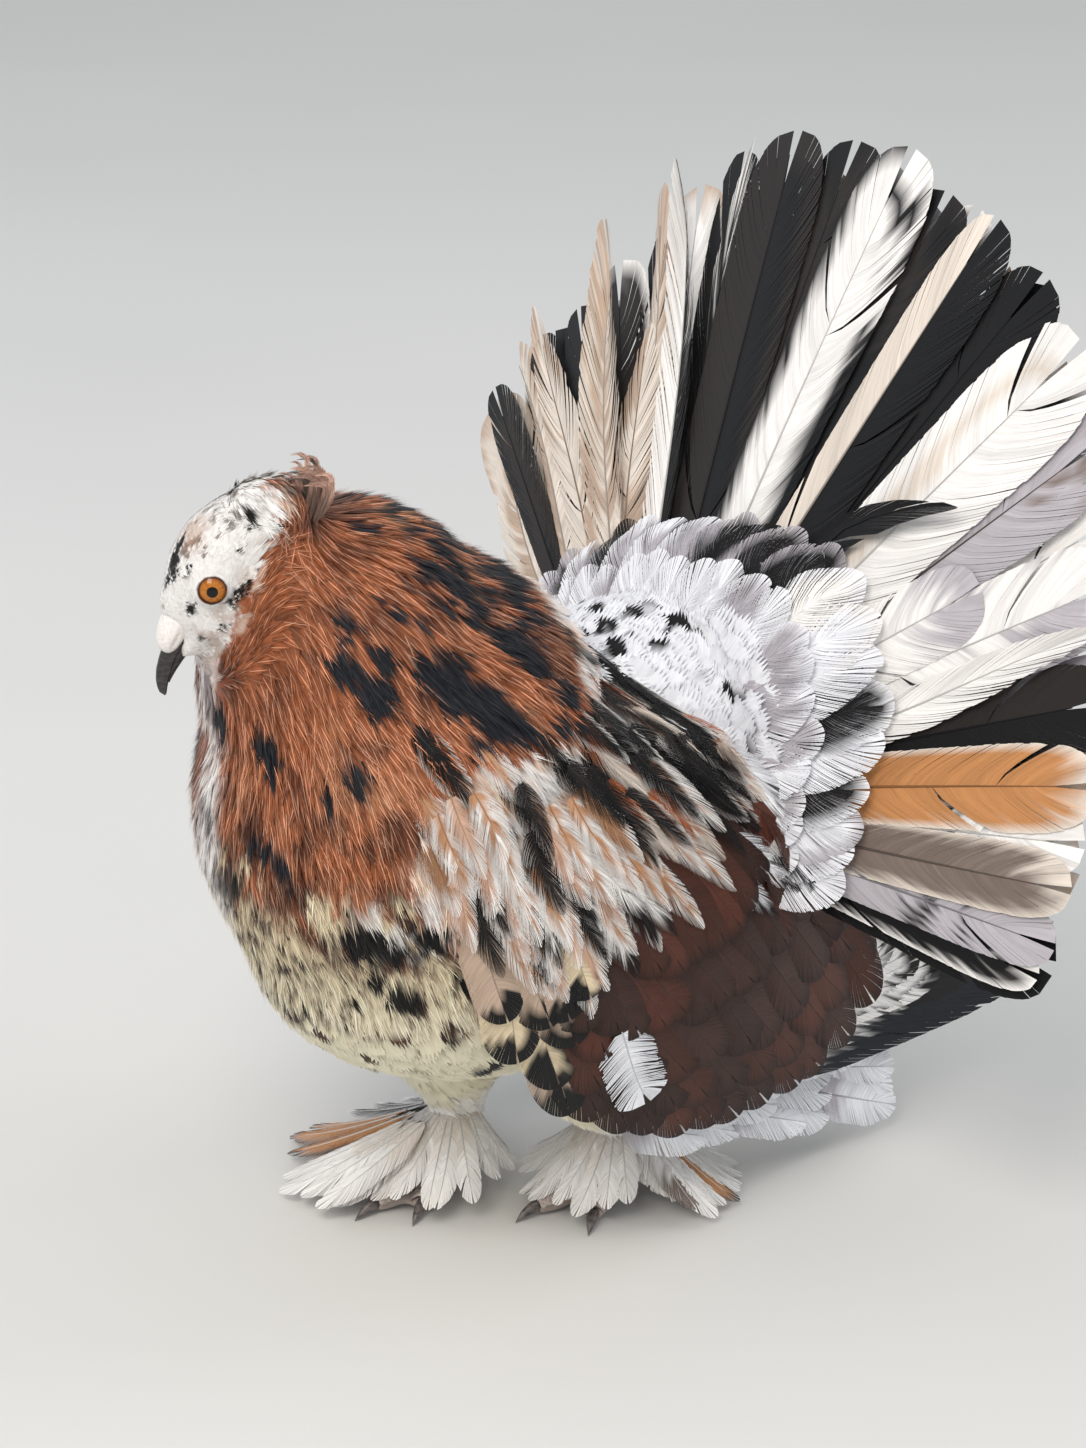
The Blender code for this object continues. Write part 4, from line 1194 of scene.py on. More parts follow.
def wing_colours(rng, back, height):
    """One wing feather's kind and colours, from where the middle of its bare part lies."""
    back, height = back + rng.normal(0, 2), height + rng.normal(0, 3)
    for patch_back, patch_height, long, high in BLACK_PATCHES:
        if ((back - patch_back) / long) ** 2 + ((height - patch_height) / high) ** 2 < 1:
            return shoulder("black", "charcoal", centre(0.1), 0.3, 0.3)
    luck = rng.random()
    if back > 50 and height > 107:
        if luck < 0.55:
            return shoulder("snow", "black", tip(0.78), 0.2, 0.7)
        return shoulder("black", "snow", rim(0.8), 0.2, 0.6)
    if height < np.interp(back, *BROWN_LINE) and back > BROWN_FRONT:
        shade = tone("chocolate" if luck < 0.5 else "chestnut") * rng.uniform(0.75, 1.35)
        # A darker rim on each brown feather: painted shade along its edge, so that the feathers stand apart
        painted_edge_shade = tone("chocolate") * 0.3
        return "wing_covert", painted(shade, painted_edge_shade, rim(0.9), edge=0.5, rough=0.2, variety=0.1, length=40)
    if height < 112 and back <= BROWN_FRONT:
        if luck < 0.12:
            return "wing_covert", painted("black", "charcoal", centre(0.1), edge=0.3, length=24)
        shade = "cream" if luck < 0.6 else "tan"
        return "wing_covert", painted(shade, "black", tip(0.8), edge=0.06, rough=0.3, length=24)
    if back > -6 and height > 150 - 0.5 * back:
        if luck < 0.46:
            return shoulder("black", "white", rim(0.9), 0.2, 0.6)
        if luck < 0.75:
            return shoulder("cream_white", "rust", base(0.5), 0.4, 0.5)
        return shoulder("white", "rust_pale", centre(0.3), 0.4, 0.6)
    if luck < 0.3:
        return shoulder("white", tone("rust_pale") * 0.8, centre(0.42), 0.6, 1.0)
    if luck < 0.58:
        return shoulder(tone("peach") * rng.uniform(0.65, 1.0), "white", rim(0.66), 0.5, 0.9)
    if luck < 0.76:
        return shoulder(tone("rust_pale") * rng.uniform(0.5, 0.9), "white", rim(0.76), 0.4, 0.8)
    if luck < 0.92:
        return shoulder("black", "white", rim(0.86), 0.2, 0.7)
    return shoulder("white", "black", tip(0.72), 0.2, 0.7)


def wing_row(row, front, shift):
    """Where one row's feathers end, from its front to its back, as back and height."""
    ends = []
    for end in WING_OUTLINE:
        turn = flow_angle(*end)
        ends.append(np.array(end) + (-math.cos(turn) * shift * 0.9, math.sin(turn) * shift * 0.92))
    ends = np.array(ends)
    if row:
        ends = np.vstack([front, ends[ends[:, 0] > front[0] + 7]])
    steps = np.concatenate([[0], np.cumsum(np.linalg.norm(np.diff(ends, axis=0), axis=1))])
    spacing = 12.0 if row < 3 else 8.4
    for place in np.arange(0.5 * (row % 2) * spacing, steps[-1], spacing)[::-1]:
        yield np.array([np.interp(place, steps, ends[:, k]) for k in (0, 1)])


def build_wing(side, word, sizes):
    """The folded wing's secondaries and coverts and the shoulder feathers over them, row over row."""
    rng = np.random.default_rng(11 if side > 0 else 12)
    surface = SideSurface(side, word)
    book = Book(250)
    seed = 300
    for row, (front, length, shift) in enumerate(WING_ROWS):
        for end in wing_row(row, front, shift):
            end = end + rng.uniform(-1.8, 1.8, 2)
            turn = flow_angle(*end) + rng.uniform(-0.1, 0.1)
            shown, bare = end - down_back(turn) * 9, end - down_back(turn) * 8
            covered = shown[1] > 172 if end[0] > -44 else shown[0] < np.interp(shown[1], *CAPE_EDGE)
            if covered or (end[1] > 112 and end[0] > 66) or end[0] + 8 < front[0]:
                continue
            kind, colours = wing_colours(rng, *bare)
            half = (9.0 if row < 3 else 7.4) if kind == "wing_covert" else rng.uniform(4.2, 5.6)
            long = length * rng.uniform(0.92, 1.06)
            if kind == "wing_covert" and bare[0] > BROWN_FRONT:
                if row % 2 and row > 1:
                    continue
                half, long = half * 1.12, long * 1.2
            if row > 5 and end[0] > 8:
                long *= 1.2
            low, high = -1.4 + 0.36 * row, 1.0 + 0.36 * row + 0.35 * rng.random()
            root = end - down_back(turn) * long
            if root[1] > 168 or root[0] < np.interp(root[1], *CAPE_EDGE) + 3:
                low, high = -4.0, min(high, 2.6)
            spine, normal = surface.spine(end, turn, long, low, high, rng.uniform(-1.5, 1.5))
            barbs = int(LOOKS[kind]["barbs"] * (1.3 if row == 0 else 1) * sizes.barbs)
            feather(book, spine, normal, half, kind, colours, seed, barbs=barbs)
            seed += 1
    # The one white feather that lies over the brown
    spine, normal = surface.spine((8, 60), math.radians(64), 32, 2.6, 3.6, 1.0)
    colours = painted("snow", length=30)
    ragged = {"round": 0.84, "rag": 0.22, "squash": 2.6, "ruffle": 0.2}
    feather(book, spine, normal, 9.0, "wing_covert", colours, seed, **ragged)
    material = feather_material("wing_feather", 0.5, 0.55, 0.14, 0.05)
    book.finish(f"wing_feathers_{word}", material, "brown_plumage")
    build_flight_feathers(side, word)


def build_flight_feathers(side, word):
    """The long primaries that cross under the fan, and the shorter secondaries beside them."""
    flight = Book(14)
    path = np.linspace(0, 1, 12)[:, None]
    rows = ((8, (53, 60, 46), 24, (5.4, 7.6), 700), (6, (56, 66, 62), 14, 7.5, 740))
    for count, start, climb, half, first_seed in rows:
        for number in range(count):
            share = number / (count - 1)
            root = np.array((start[0] * side, start[1] + 4 * share, start[2] + climb * share))
            if count == 8:
                back = 192 - 34 * share ** 1.3 - 6 * (1 - share)
                end = np.array(((44 + 3 * share) * side, back, 40 + 12 * share))
                shade, shaft, paler = "slate" if number < 6 else "black", "slate", base(0.12 + 0.07 * number)
                colours = painted(shade, "white", paler, edge=0.1, rough=0.25, length=120)
            else:
                end, shaft = np.array((50 * side, 142 - 26 * share, 56 + 16 * share)), "white"
                colours = painted(
                    "white", "black", rim(0.9) if number % 2 else tip(0.86), edge=0.1, length=70,
                )
            spine = root + (end - root) * path
            spine += np.array((side * (0.4 * number - 1), 0, -2)) * np.sin(path * math.pi)
            out = np.broadcast_to((float(side), 0, 0.15), spine.shape)
            feather(flight, spine, out, half, "remex", colours, first_seed + number, tone(shaft) * 0.6)
    material = bpy.data.materials["flight_feather"]
    flight.finish(f"flight_feathers_{word}", material, "black_plumage", [f"primaries_{word}"])


def build_hock_feathers(side, word, rng, material):
    """The stacked white feathers behind the thigh."""
    hock = Book(28)
    path = np.linspace(0, 1, 9)[:, None]
    for row in range(7):
        for number in range(4):
            share = 0.14 + 0.14 * row + 0.02 * rng.random()
            drop = -0.95 + 0.6 * number
            out = (46 - 8 * share + rng.uniform(-9, 3)) * side
            tip_at = np.array((out, 32 + 100 * share, 44 - 27 * share + drop * (15 - 5 * share)))
            tip_at[2] = max(tip_at[2], 2.5)
            root_at = tip_at - np.array((-2 * side, 34, -13 + drop * 4))
            lift = 1.6 + (7 - row) * 0.35 + number * 1.1
            spine = root_at + (tip_at - root_at) * path + np.array((side, 0, 0.5)) * (lift * path)
            # Grey at each feather's base: painted shade between the stacked feathers
            colours = painted("snow", "grey", base(0.3), edge=0.3, length=40)
            facing = np.broadcast_to(
                (float(side), rng.uniform(-0.4, 0.3), rng.uniform(0.1, 0.9)), spine.shape,
            )
            half, seed = rng.uniform(6.5, 8.5), 800 + row * 10 + number
            feather(hock, spine, facing, half, "leg_feather", colours, seed, camber=2.6)
    hock.finish(f"hock_feather_vanes_{word}", material, "white_plumage", [f"hock_feathers_{word}"])


# Rows of foot feathers: reach as a share of the foot's, length, number, and height at the tips
MUFF_ROWS = ((1.02, 38, 11, 2.4), (0.84, 32, 10, 2.9), (0.66, 27, 9, 3.4), (0.48, 21, 7, 3.9))
# Rows round the ankle: turn from the foot's heading, spread to each side, reach, and then as above
ANKLE_ROWS = (
    (0, 62, 33, 27, 9, 6.5), (0, 75, 24, 20, 9, 9.5), (0, 100, 16, 15, 9, 13.5), (180, 80, 20, 17, 7, 6.0),
)


def leg_colours(rng, row):
    """A foot feather's colours: mostly white, with a few orange and black ones in the outer rows."""
    shade = rng.random()
    if shade < 0.7 or row > 1:
        return painted("white", "cream_white", base(0.35), edge=0.4, length=35)
    if shade < 0.84:
        return painted("orange", "black", rim(0.78), edge=0.1, length=35)
    if shade < 0.93:
        return painted("black", "white", rim(0.7), edge=0.15, length=35)
    return painted("white", "grey_brown", tip(0.6), edge=0.3, length=35)


def build_leg_feathers(side, word):
    """The feathers behind the thigh, and those from the ankle over the toes and the floor."""
    rng = np.random.default_rng(21 if side > 0 else 22)
    material = feather_material("leg_feather", 0.65, 0.6, 0.1, 0.1)
    build_hock_feathers(side, word, rng, material)

    place, heading = np.array(FEET[word][0], float) + (0, 5, 0), FEET[word][1]
    middle, spread, reach = MUFFS[word]
    muff = Book(120)
    rows = [(middle, spread * 0.97, reach * k, *rest) for k, *rest in MUFF_ROWS]
    rows += [(heading + turn, *rest) for turn, *rest in ANKLE_ROWS]
    for row, (facing, wide, outer, length, count, tip_height) in enumerate(rows):
        for number in range(count):
            share = (number + 0.5 * (row % 2)) / (count - 0.5)
            angle = facing + wide * (2 * share - 1) + rng.uniform(-3, 3)
            far = outer * (0.86 + 0.14 * math.sin(math.pi * min(share, 1))) * rng.uniform(0.92, 1.04)
            distance = np.linspace(max(4.0, far - length), far, 9)
            t = np.clip((distance - 6) / (outer - 6), 0, 1)
            height = tip_height + (27 - tip_height) * (1 - t) ** 1.25
            direction = floor_direction(np.full(9, angle))
            spine = place + direction * distance[:, None] + UP * height[:, None]
            spine += np.cross(UP, direction) * (rng.uniform(-2.5, 2.5) * np.linspace(0, 1, 9) ** 2)[:, None]
            colours = leg_colours(rng, row)
            if side < 0 and row < 2 and 52 < angle < 98:
                shade, edge_tone = ("orange", "black") if angle < 78 else ("black", "white")
                colours = painted(shade, edge_tone, rim(0.8), edge=0.1, length=35)
            half, seed = rng.uniform(4.6, 6.2) * (1 if row < 4 else 0.8), 900 + row * 30 + number
            out = unit(UP + direction * 0.55)
            feather(muff, spine, out, half, "leg_feather", colours, seed, tone("white") * 0.7)
    muff.finish(f"foot_feathers_{word}", material, "white_plumage", [f"muff_{word}"])


def build_crest():
    """The small tuft behind the crown: long thin ribbons that rise and curl forward."""
    forward, left = unit(HEAD_AXES[0] * (1, 1, 0)), HEAD_AXES[1]
    root = on_head((-33, 0, -11)) + forward * 3.0
    rng = np.random.default_rng(31)
    book = Book(36)
    share = np.linspace(0, 1, 12)[:, None]
    for number in range(26):
        out, depth = rng.uniform(-1, 1), rng.uniform(-1, 1)
        start = root + left * out * 4.5 + forward * depth * 3.6 - UP * 5
        height = rng.uniform(10, 18.5) * (1 - 0.2 * abs(out))
        hook = rng.uniform(2.0, 6.0)
        spine = start + UP * height * np.sin(share * 1.75) / 0.984
        spine = spine - forward * (3.2 - 1.5 * depth) * np.sin(share * math.pi * 0.8)
        spine = spine + forward * hook * share ** 4
        spine = spine + left * (out * 3.0 * share ** 2 + rng.uniform(-0.8, 0.8) * np.sin(share * 3))
        normal = unit(left + forward * rng.uniform(-0.5, 0.5) + UP * 0.1)
        shade = tone("crest") * rng.uniform(0.6, 1.1) if number % 8 else tone("grey_brown") * 0.6
        colours = painted(shade, shade * 0.3, base(0.45), edge=0.5, length=18)
        out = np.broadcast_to(normal, spine.shape)
        feather(book, spine, out, rng.uniform(0.7, 1.4), "ribbon", colours, 1000 + number)
    material = feather_material("crest_feather", 0.6, 0.5, 0.15, 0.1)
    book.finish("crest_feathers", material, "rust_plumage", ["crest"])


VANE_KINDS = {"short": 3, "hackle": 5, "soft": 4}


def vane_strands(kind, variant):
    """One small feather, one wide and one long: its points, faces, rise over the skin and whether shaft.

    A soft feather is whole up to its ragged rim, and a hackle parts into pointed barbs beside its shaft.
    """
    rng = np.random.default_rng(len(kind) * 10 + variant)
    points, faces, rises, shafts = [], [], [], []

    def strand(x0, y0, x1, y1, wide, extra=0.0, shaft=0.0):
        first = len(points)
        for share in (0.0, 0.5):
            x, y = x0 + (x1 - x0) * share ** 1.3, y0 + (y1 - y0) * share
            half = wide * (0.75 if share == 0 else 0.9)
            points.extend([(x - half, y), (x + half, y)])
            rises.extend([y ** 1.3 - 0.4 * x * x + extra] * 2)
        points.append((x1, y1))
        rises.append(y1 ** 1.3 - 0.4 * x1 * x1 + extra)
        shafts.extend([shaft] * 5)
        faces.append((first, first + 1, first + 3, first + 2))
        faces.append((first + 2, first + 3, first + 4))

    if kind == "soft":
        columns, rows = 6, (0.0, 0.4, 0.75)
        xs = np.linspace(-0.5, 0.5, columns + 1)
        for y, wide in zip(rows, (0.35, 0.9, 1.0)):
            for x in xs:
                points.append((x * wide, y - x * x * 0.5 * y))
                rises.append(y ** 1.3 - 0.7 * x * x)
                shafts.append(0.0)
        width = columns + 1
        for row in range(2):
            for k in range(columns):
                a = row * width + k
                faces.append((a, a + 1, a + width + 1, a + width))
        for k in range(columns):
            a, middle = 2 * width + k, (xs[k] + xs[k + 1]) / 2
            side = middle * 1.02 + rng.uniform(-0.03, 0.03)
            points.append((side, 1.0 - middle * middle * 1.3 + rng.uniform(-0.07, 0.05)))
            rises.append(1.0 - 0.7 * middle * middle)
            shafts.append(0.0)
            faces.append((a, a + 1, len(points) - 1))
    else:
        xs, wide = ((-0.3, 0.0, 0.3), 0.18) if kind == "short" else ((-0.38, -0.19, 0.0, 0.19, 0.38), 0.125)
        for x in xs:
            side = x + rng.uniform(-0.07, 0.07)
            strand(x * 0.4, abs(x) * 0.1, side, 1 - abs(x) * 0.6 - rng.uniform(0, 0.14), wide)
        if kind == "hackle":
            strand(0.0, 0.1, rng.uniform(-0.04, 0.04), 1.04, 0.05, 0.12, 1.0)
    return np.array(points), faces, np.array(rises), np.array(shafts)


def vane_collection(kind):
    """The variants of one kind of small feather, as shapes for the tree that lays them."""
    made = bpy.data.collections.new(f"vanes_{kind}")
    bpy.context.scene.collection.children.link(made)
    for variant in range(VANE_KINDS[kind]):
        points, faces, rises, shafts = vane_strands(kind, variant)
        mesh = bpy.data.meshes.new(f"vane_{kind}_{variant}")
        mesh.from_pydata([(x, y, 0.0) for x, y in points], [], faces)
        values = {"rise": rises, "vane_along": points[:, 1], "vane_across": points[:, 0] * 2, "shaft": shafts}
        for name, each in values.items():
            set_values(mesh, name, each, "FLOAT")
        mesh.shade_smooth()
        made.objects.link(bpy.data.objects.new(mesh.name, mesh))
    return made


def new_tree(name, **inputs):
    """A geometry tree with a geometry input and output and the named inputs, each with its kind."""
    tree = bpy.data.node_groups.new(name, "GeometryNodeTree")
    for in_out in ("INPUT", "OUTPUT"):
        tree.interface.new_socket("Geometry", in_out=in_out, socket_type="NodeSocketGeometry")
    for label, kind in inputs.items():
        tree.interface.new_socket(label, in_out="INPUT", socket_type=f"NodeSocket{kind}")
    return tree, add(tree, "NodeGroupInput").outputs, add(tree, "NodeGroupOutput").inputs


def run_tree(tree, holder, values):
    """The mesh that the tree makes of the holder's geometry, with inputs set by socket identifier."""
    modifier = holder.modifiers.new(tree.name, "NODES")
    modifier.node_group = tree
    for item in tree.interface.items_tree:
        if item.in_out == "INPUT" and item.name in values:
            modifier[item.identifier] = values[item.name]
    return settle(holder, tree.name)


def scatter_tree():
    """Scatters the roots of small feathers over the part of the skin that an attribute marks."""
    tree, given, out = new_tree("scatter_roots", Where="String", Spacing="Float", Density="Float", Seed="Int")
    grows = add(tree, "GeometryNodeInputNamedAttribute", links={"Name": given["Where"]}, data_type="FLOAT")
    enough = add(
        tree, "FunctionNodeCompare", {1: 0.5}, {0: grows.outputs["Attribute"]},
        data_type="FLOAT", operation="GREATER_THAN",
    )
    sockets = {"Mesh": "Geometry", "Distance Min": "Spacing", "Density Max": "Density", "Seed": "Seed"}
    links = {name: given[source] for name, source in sockets.items()}
    links["Selection"] = enough.outputs["Result"]
    roots = add(tree, "GeometryNodeDistributePointsOnFaces", links=links, distribute_method="POISSON")
    links = {"Geometry": roots.outputs["Points"], "Value": roots.outputs["Normal"]}
    kept = store(tree, "outward", links, "FLOAT_VECTOR", "POINT")
    verts = add(tree, "GeometryNodePointsToVertices", links={"Points": kept})
    tree.links.new(verts.outputs[0], out["Geometry"])
    return tree


def store(tree, name, links, kind, domain):
    """Keeps a value under a name, and gives the geometry's socket."""
    kept = add(tree, "GeometryNodeStoreNamedAttribute", {"Name": name}, links, data_type=kind, domain=domain)
    return kept.outputs["Geometry"]


def laying_tree():
    """Lays a small feather at each root, turned to the coat's lie and drawn down to the skin's own curve."""
    tree, given, out = new_tree(
        "lay_feathers", Vanes="Collection", Skin="Object", Patch="Float", Feather="Material",
    )

    def node(kind, links, values=None, output=0, **settings):
        return add(tree, kind, values, links, **settings).outputs[output]

    def named(name, kind="FLOAT_VECTOR"):
        return node("GeometryNodeInputNamedAttribute", None, {"Name": name}, "Attribute", data_type=kind)

    def scaled(vector, factor):
        return node("ShaderNodeVectorMath", {0: vector, "Scale": factor}, operation="SCALE")

    def added(first, second):
        return node("ShaderNodeVectorMath", {0: first, 1: second}, operation="ADD")

    separate = {"Separate Children": True, "Reset Children": True}
    vanes = node("GeometryNodeCollectionInfo", {"Collection": given["Vanes"]}, separate)
    align = "FunctionNodeAlignRotationToVector"
    upright = node(align, {"Vector": named("outward")}, axis="Z")
    turned = node(align, {"Rotation": upright, "Vector": named("lie")}, axis="Y", pivot_axis="Z")
    sockets = {
        "Points": given["Geometry"], "Instance": vanes, "Instance Index": named("variant", "INT"),
        "Rotation": turned, "Scale": named("size"),
    }
    laid = node("GeometryNodeInstanceOnPoints", sockets, {"Pick Instance": True})
    real = node("GeometryNodeRealizeInstances", {"Geometry": laid})
    skin = node("GeometryNodeObjectInfo", {"Object": given["Skin"]}, output="Geometry")
    here, outward = node("GeometryNodeInputPosition", None), node("GeometryNodeInputNormal", None)
    foot, normal = (
        node(
            "GeometryNodeSampleNearestSurface", {"Mesh": skin, "Value": value, "Sample Position": here},
            output="Value", data_type="FLOAT_VECTOR",
        )
        for value in (here, outward)
    )
    sockets = {place: named(name, "FLOAT") for place, name in enumerate(("rise", "lift", "sink"))}
    height = node("ShaderNodeMath", sockets, operation="MULTIPLY_ADD")
    place = added(foot, scaled(normal, height))
    moved = node("GeometryNodeSetPosition", {"Geometry": real, "Position": place})
    own = node(
        "ShaderNodeCombineXYZ", {"X": named("vane_across", "FLOAT"), "Y": named("vane_along", "FLOAT")},
    )
    patch = added(named("root_uv"), scaled(own, given["Patch"]))
    mapped = store(tree, "OFBake", {"Geometry": moved, "Value": patch}, "FLOAT2", "CORNER")
    dressed = node("GeometryNodeSetMaterial", {"Geometry": mapped, "Material": given["Feather"]})
    tree.links.new(dressed, out["Geometry"])
    return tree


def set_values(mesh, name, values, kind="FLOAT_VECTOR"):
    layer = mesh.attributes.get(name) or mesh.attributes.new(name, kind, "POINT")
    field = {"FLOAT_VECTOR": "vector", "FLOAT": "value", "INT": "value"}[kind]
    layer.data.foreach_set(field, np.asarray(values, np.int32 if kind == "INT" else np.float32).ravel())


def get_values(mesh, name, width=3):
    """A vector, or with width 1 a number, for each point."""
    layer = mesh.attributes[name]
    flat = np.zeros(len(layer.data) * width, np.float32)
    layer.data.foreach_get("vector" if width == 3 else "value", flat)
    return flat.reshape(-1, 3).astype(float) if width == 3 else flat.astype(float)


def zone_weights():
    """Where on the skin each kind of small feather grows, as one value per vertex for each piece of coat."""
    points, kinds = MADE["skin_points"], MADE["kinds"]
    x, y, z = points.T
    head = in_head(points)
    ahead, left, up = head.T
    face = np.linalg.norm(head - (14, 0, -4), axis=1)
    on_face = (face < 36) & np.isin(kinds, ("head", "neck")) & (ahead > -30 + 0.5 * np.maximum(0, -up - 4))
    on_face &= ((kinds == "head") | (face < 26)) & (ahead > white_line(up) - 3)
    on_face &= (np.hypot(ahead - 0.8, up) > 4.9) | (np.abs(left) < 6)
    eye = (np.hypot(ahead, up) < 6) & (np.abs(left) > 6) & (np.abs(left) < 18)
    behind = (y > 8) | np.isin(kinds, ("tail_coverts", "undertail_coverts"))
    front = np.isin(kinds, ("trunk", "neck", "head")) & ~on_face & ~eye & ~behind
    rump = behind & np.isin(kinds, ("trunk", "tail_coverts")) & (z > 80)
    return {
        "coat_head": on_face,
        "coat_neck_left": front & (z >= 150) & (x >= -2),
        "coat_neck_right": front & (z >= 150) & (x < -2),
        "coat_breast": front & (z < 150) & (z > 96),
        "coat_belly": (front & (z <= 96)) | (kinds == "trunk") & (z <= 80),
        "coat_rump": rump | (kinds == "undertail_coverts"),
        "coat_legs": np.isin(kinds, ("thigh", "shank")) | ((kinds == "foot") & (z > 13)),
    }


class RootMap:
    """Finds each small feather's place on an unwrap of the skin."""

    def __init__(self):
        self.holder = unwrap_roots()
        mesh = self.holder.data
        mesh.calc_loop_triangles()
        self.uv = mesh.uv_layers.active.data
        self.corners = [tuple(t.vertices) for t in mesh.loop_triangles]
        self.loops = [tuple(t.loops) for t in mesh.loop_triangles]
        self.place = [v.co.copy() for v in mesh.vertices]
        self.coarse = BVHTree.FromPolygons(self.place, self.corners)

    def places(self, points):
        found = np.zeros((len(points), 3))
        for k, point in enumerate(points.tolist()):
            spot, _, index, _ = self.coarse.find_nearest(point)
            a, b, c = (self.place[i] for i in self.corners[index])
            area = (b - a).cross(c - a).length or 1.0
            share_a = (b - spot).cross(c - spot).length / area
            share_b = (c - spot).cross(a - spot).length / area
            uv_a, uv_b, uv_c = (self.uv[i].uv for i in self.loops[index])
            found[k, :2] = uv_a * share_a + uv_b * share_b + uv_c * (1 - share_a - share_b)
        return found


def grow(name, drawn, long, wide, high):
    """Makes the small feathers smaller near the bill and on the feet."""
    if name == "coat_head":
        far = np.linalg.norm(in_head(drawn) - (19, 0, -4), axis=1)
        grown = np.interp(far, (0, 8, 22, 36), (0.5, 0.7, 1.0, 1.7))
        return long * grown, wide * np.sqrt(grown), high * np.sqrt(grown)
    if "neck" in name:
        far = np.linalg.norm(in_head(drawn) - (6, 0, -4), axis=1)
        grown = np.interp(far, (14, 26, 45, 75), (0.5, 0.8, 1.02, 1.15))
        return long * grown, wide * (0.45 + 0.55 * grown), high * (0.3 + 0.7 * grown)
    if name == "coat_legs":
        grown = np.interp(drawn[:, 2], (8, 18, 60), (0.6, 0.9, 1.15))
        return long * grown, wide * grown, high
    return long, wide, high


# Each piece of coat: kind of vane, spacing of the roots, length, width, height of the tips over the skin,
# how much paler the shafts and tips are, and its slot
COATS = {
    "coat_head": ("short", 0.78, 2.9, 1.55, 0.34, 0.12, "white_plumage"),
    "coat_neck_left": ("hackle", 1.4, 10.5, 2.7, 2.3, 0.75, "rust_plumage"),
    "coat_neck_right": ("hackle", 1.45, 10.5, 2.75, 2.3, 0.75, "rust_plumage"),
    "coat_breast": ("hackle", 1.65, 11.5, 3.1, 2.3, 0.7, "cream_plumage"),
    "coat_belly": ("soft", 3.1, 12.0, 7.0, 1.7, 0.2, "cream_plumage"),
    "coat_rump": ("soft", 2.9, 12.0, 7.5, 3.0, 0.2, "white_plumage"),
    "coat_legs": ("soft", 2.6, 14.0, 5.5, 2.2, 0.2, "white_plumage"),
}
TUFT_PATCH = 0.0015                          # a small feather's length and half width on the OFBake map
# What the small feathers carry only while they are laid and coloured
WORKING_VALUES = (
    "root_at", "luck", "vane_along", "vane_across", "shaft", "rise", "lie", "outward", "size", "lift", "sink",
    "root_uv", "variant",
)


def build_coat(sizes):
    """All the small feathers, piece by piece, laid over the skin."""
    skin = MADE["skin"]
    zones = zone_weights()
    for name, where in zones.items():
        set_values(skin.data, name, where.astype(float), "FLOAT")
    scatter, laying, root_map = scatter_tree(), laying_tree(), RootMap()
    vanes = {}
    material = feather_material("contour_feather", 0.65, 0.5, 0.1, 0.1)
    for seed, (name, (kind, spacing, length, width, lift, lighter, slot)) in enumerate(COATS.items()):
        spacing = spacing * sizes.spacing * MM
        carrier = placed("roots", skin.data)
        scattering = {"Where": name, "Spacing": spacing, "Density": 1.6 / spacing ** 2, "Seed": 40 + seed}
        roots = run_tree(scatter, carrier, scattering)
        count = len(roots.vertices)
        rng = np.random.default_rng(60 + seed)
        at = mesh_points(roots)
        drawn, outward = to_drawing(at), unit(get_values(roots, "outward"))
        lie = lie_of(drawn, outward)
        lie = unit(lie + np.cross(outward, lie) * rng.normal(0, 0.16, count)[:, None])
        long, wide = length * rng.uniform(0.82, 1.18, count), width * rng.uniform(0.85, 1.15, count)
        long, wide, high = grow(name, drawn, long, wide, lift * rng.uniform(0.7, 1.25, count))
        values = {"lie": lie, "size": np.stack([wide, long, np.ones(count)], 1) * MM, "root_at": drawn}
        values["root_uv"] = root_map.places(at)
        numbers = {"lift": high * MM, "sink": np.full(count, -0.1 * MM)}
        set_values(roots, "variant", rng.integers(0, VANE_KINDS[kind], count), "INT")
        numbers["luck"] = rng.random(count)
        for label, value in values.items():
            set_values(roots, label, value)
        for label, value in numbers.items():
            set_values(roots, label, value, "FLOAT")
        if kind not in vanes:
            vanes[kind] = vane_collection(kind)
        dressing = {"Vanes": vanes[kind], "Skin": skin, "Patch": TUFT_PATCH, "Feather": material}
        mesh = run_tree(laying, carrier, dressing)
        bpy.data.objects.remove(carrier)
        colour_coat(mesh, lighter)
        mesh.name = name
        finish_piece(placed(name, mesh), slot)
    bpy.data.objects.remove(root_map.holder)
    for hidden in vanes.values():
        for shape in list(hidden.objects):
            bpy.data.objects.remove(shape)
        bpy.data.collections.remove(hidden)
    for name in zones:
        skin.data.attributes.remove(skin.data.attributes[name])


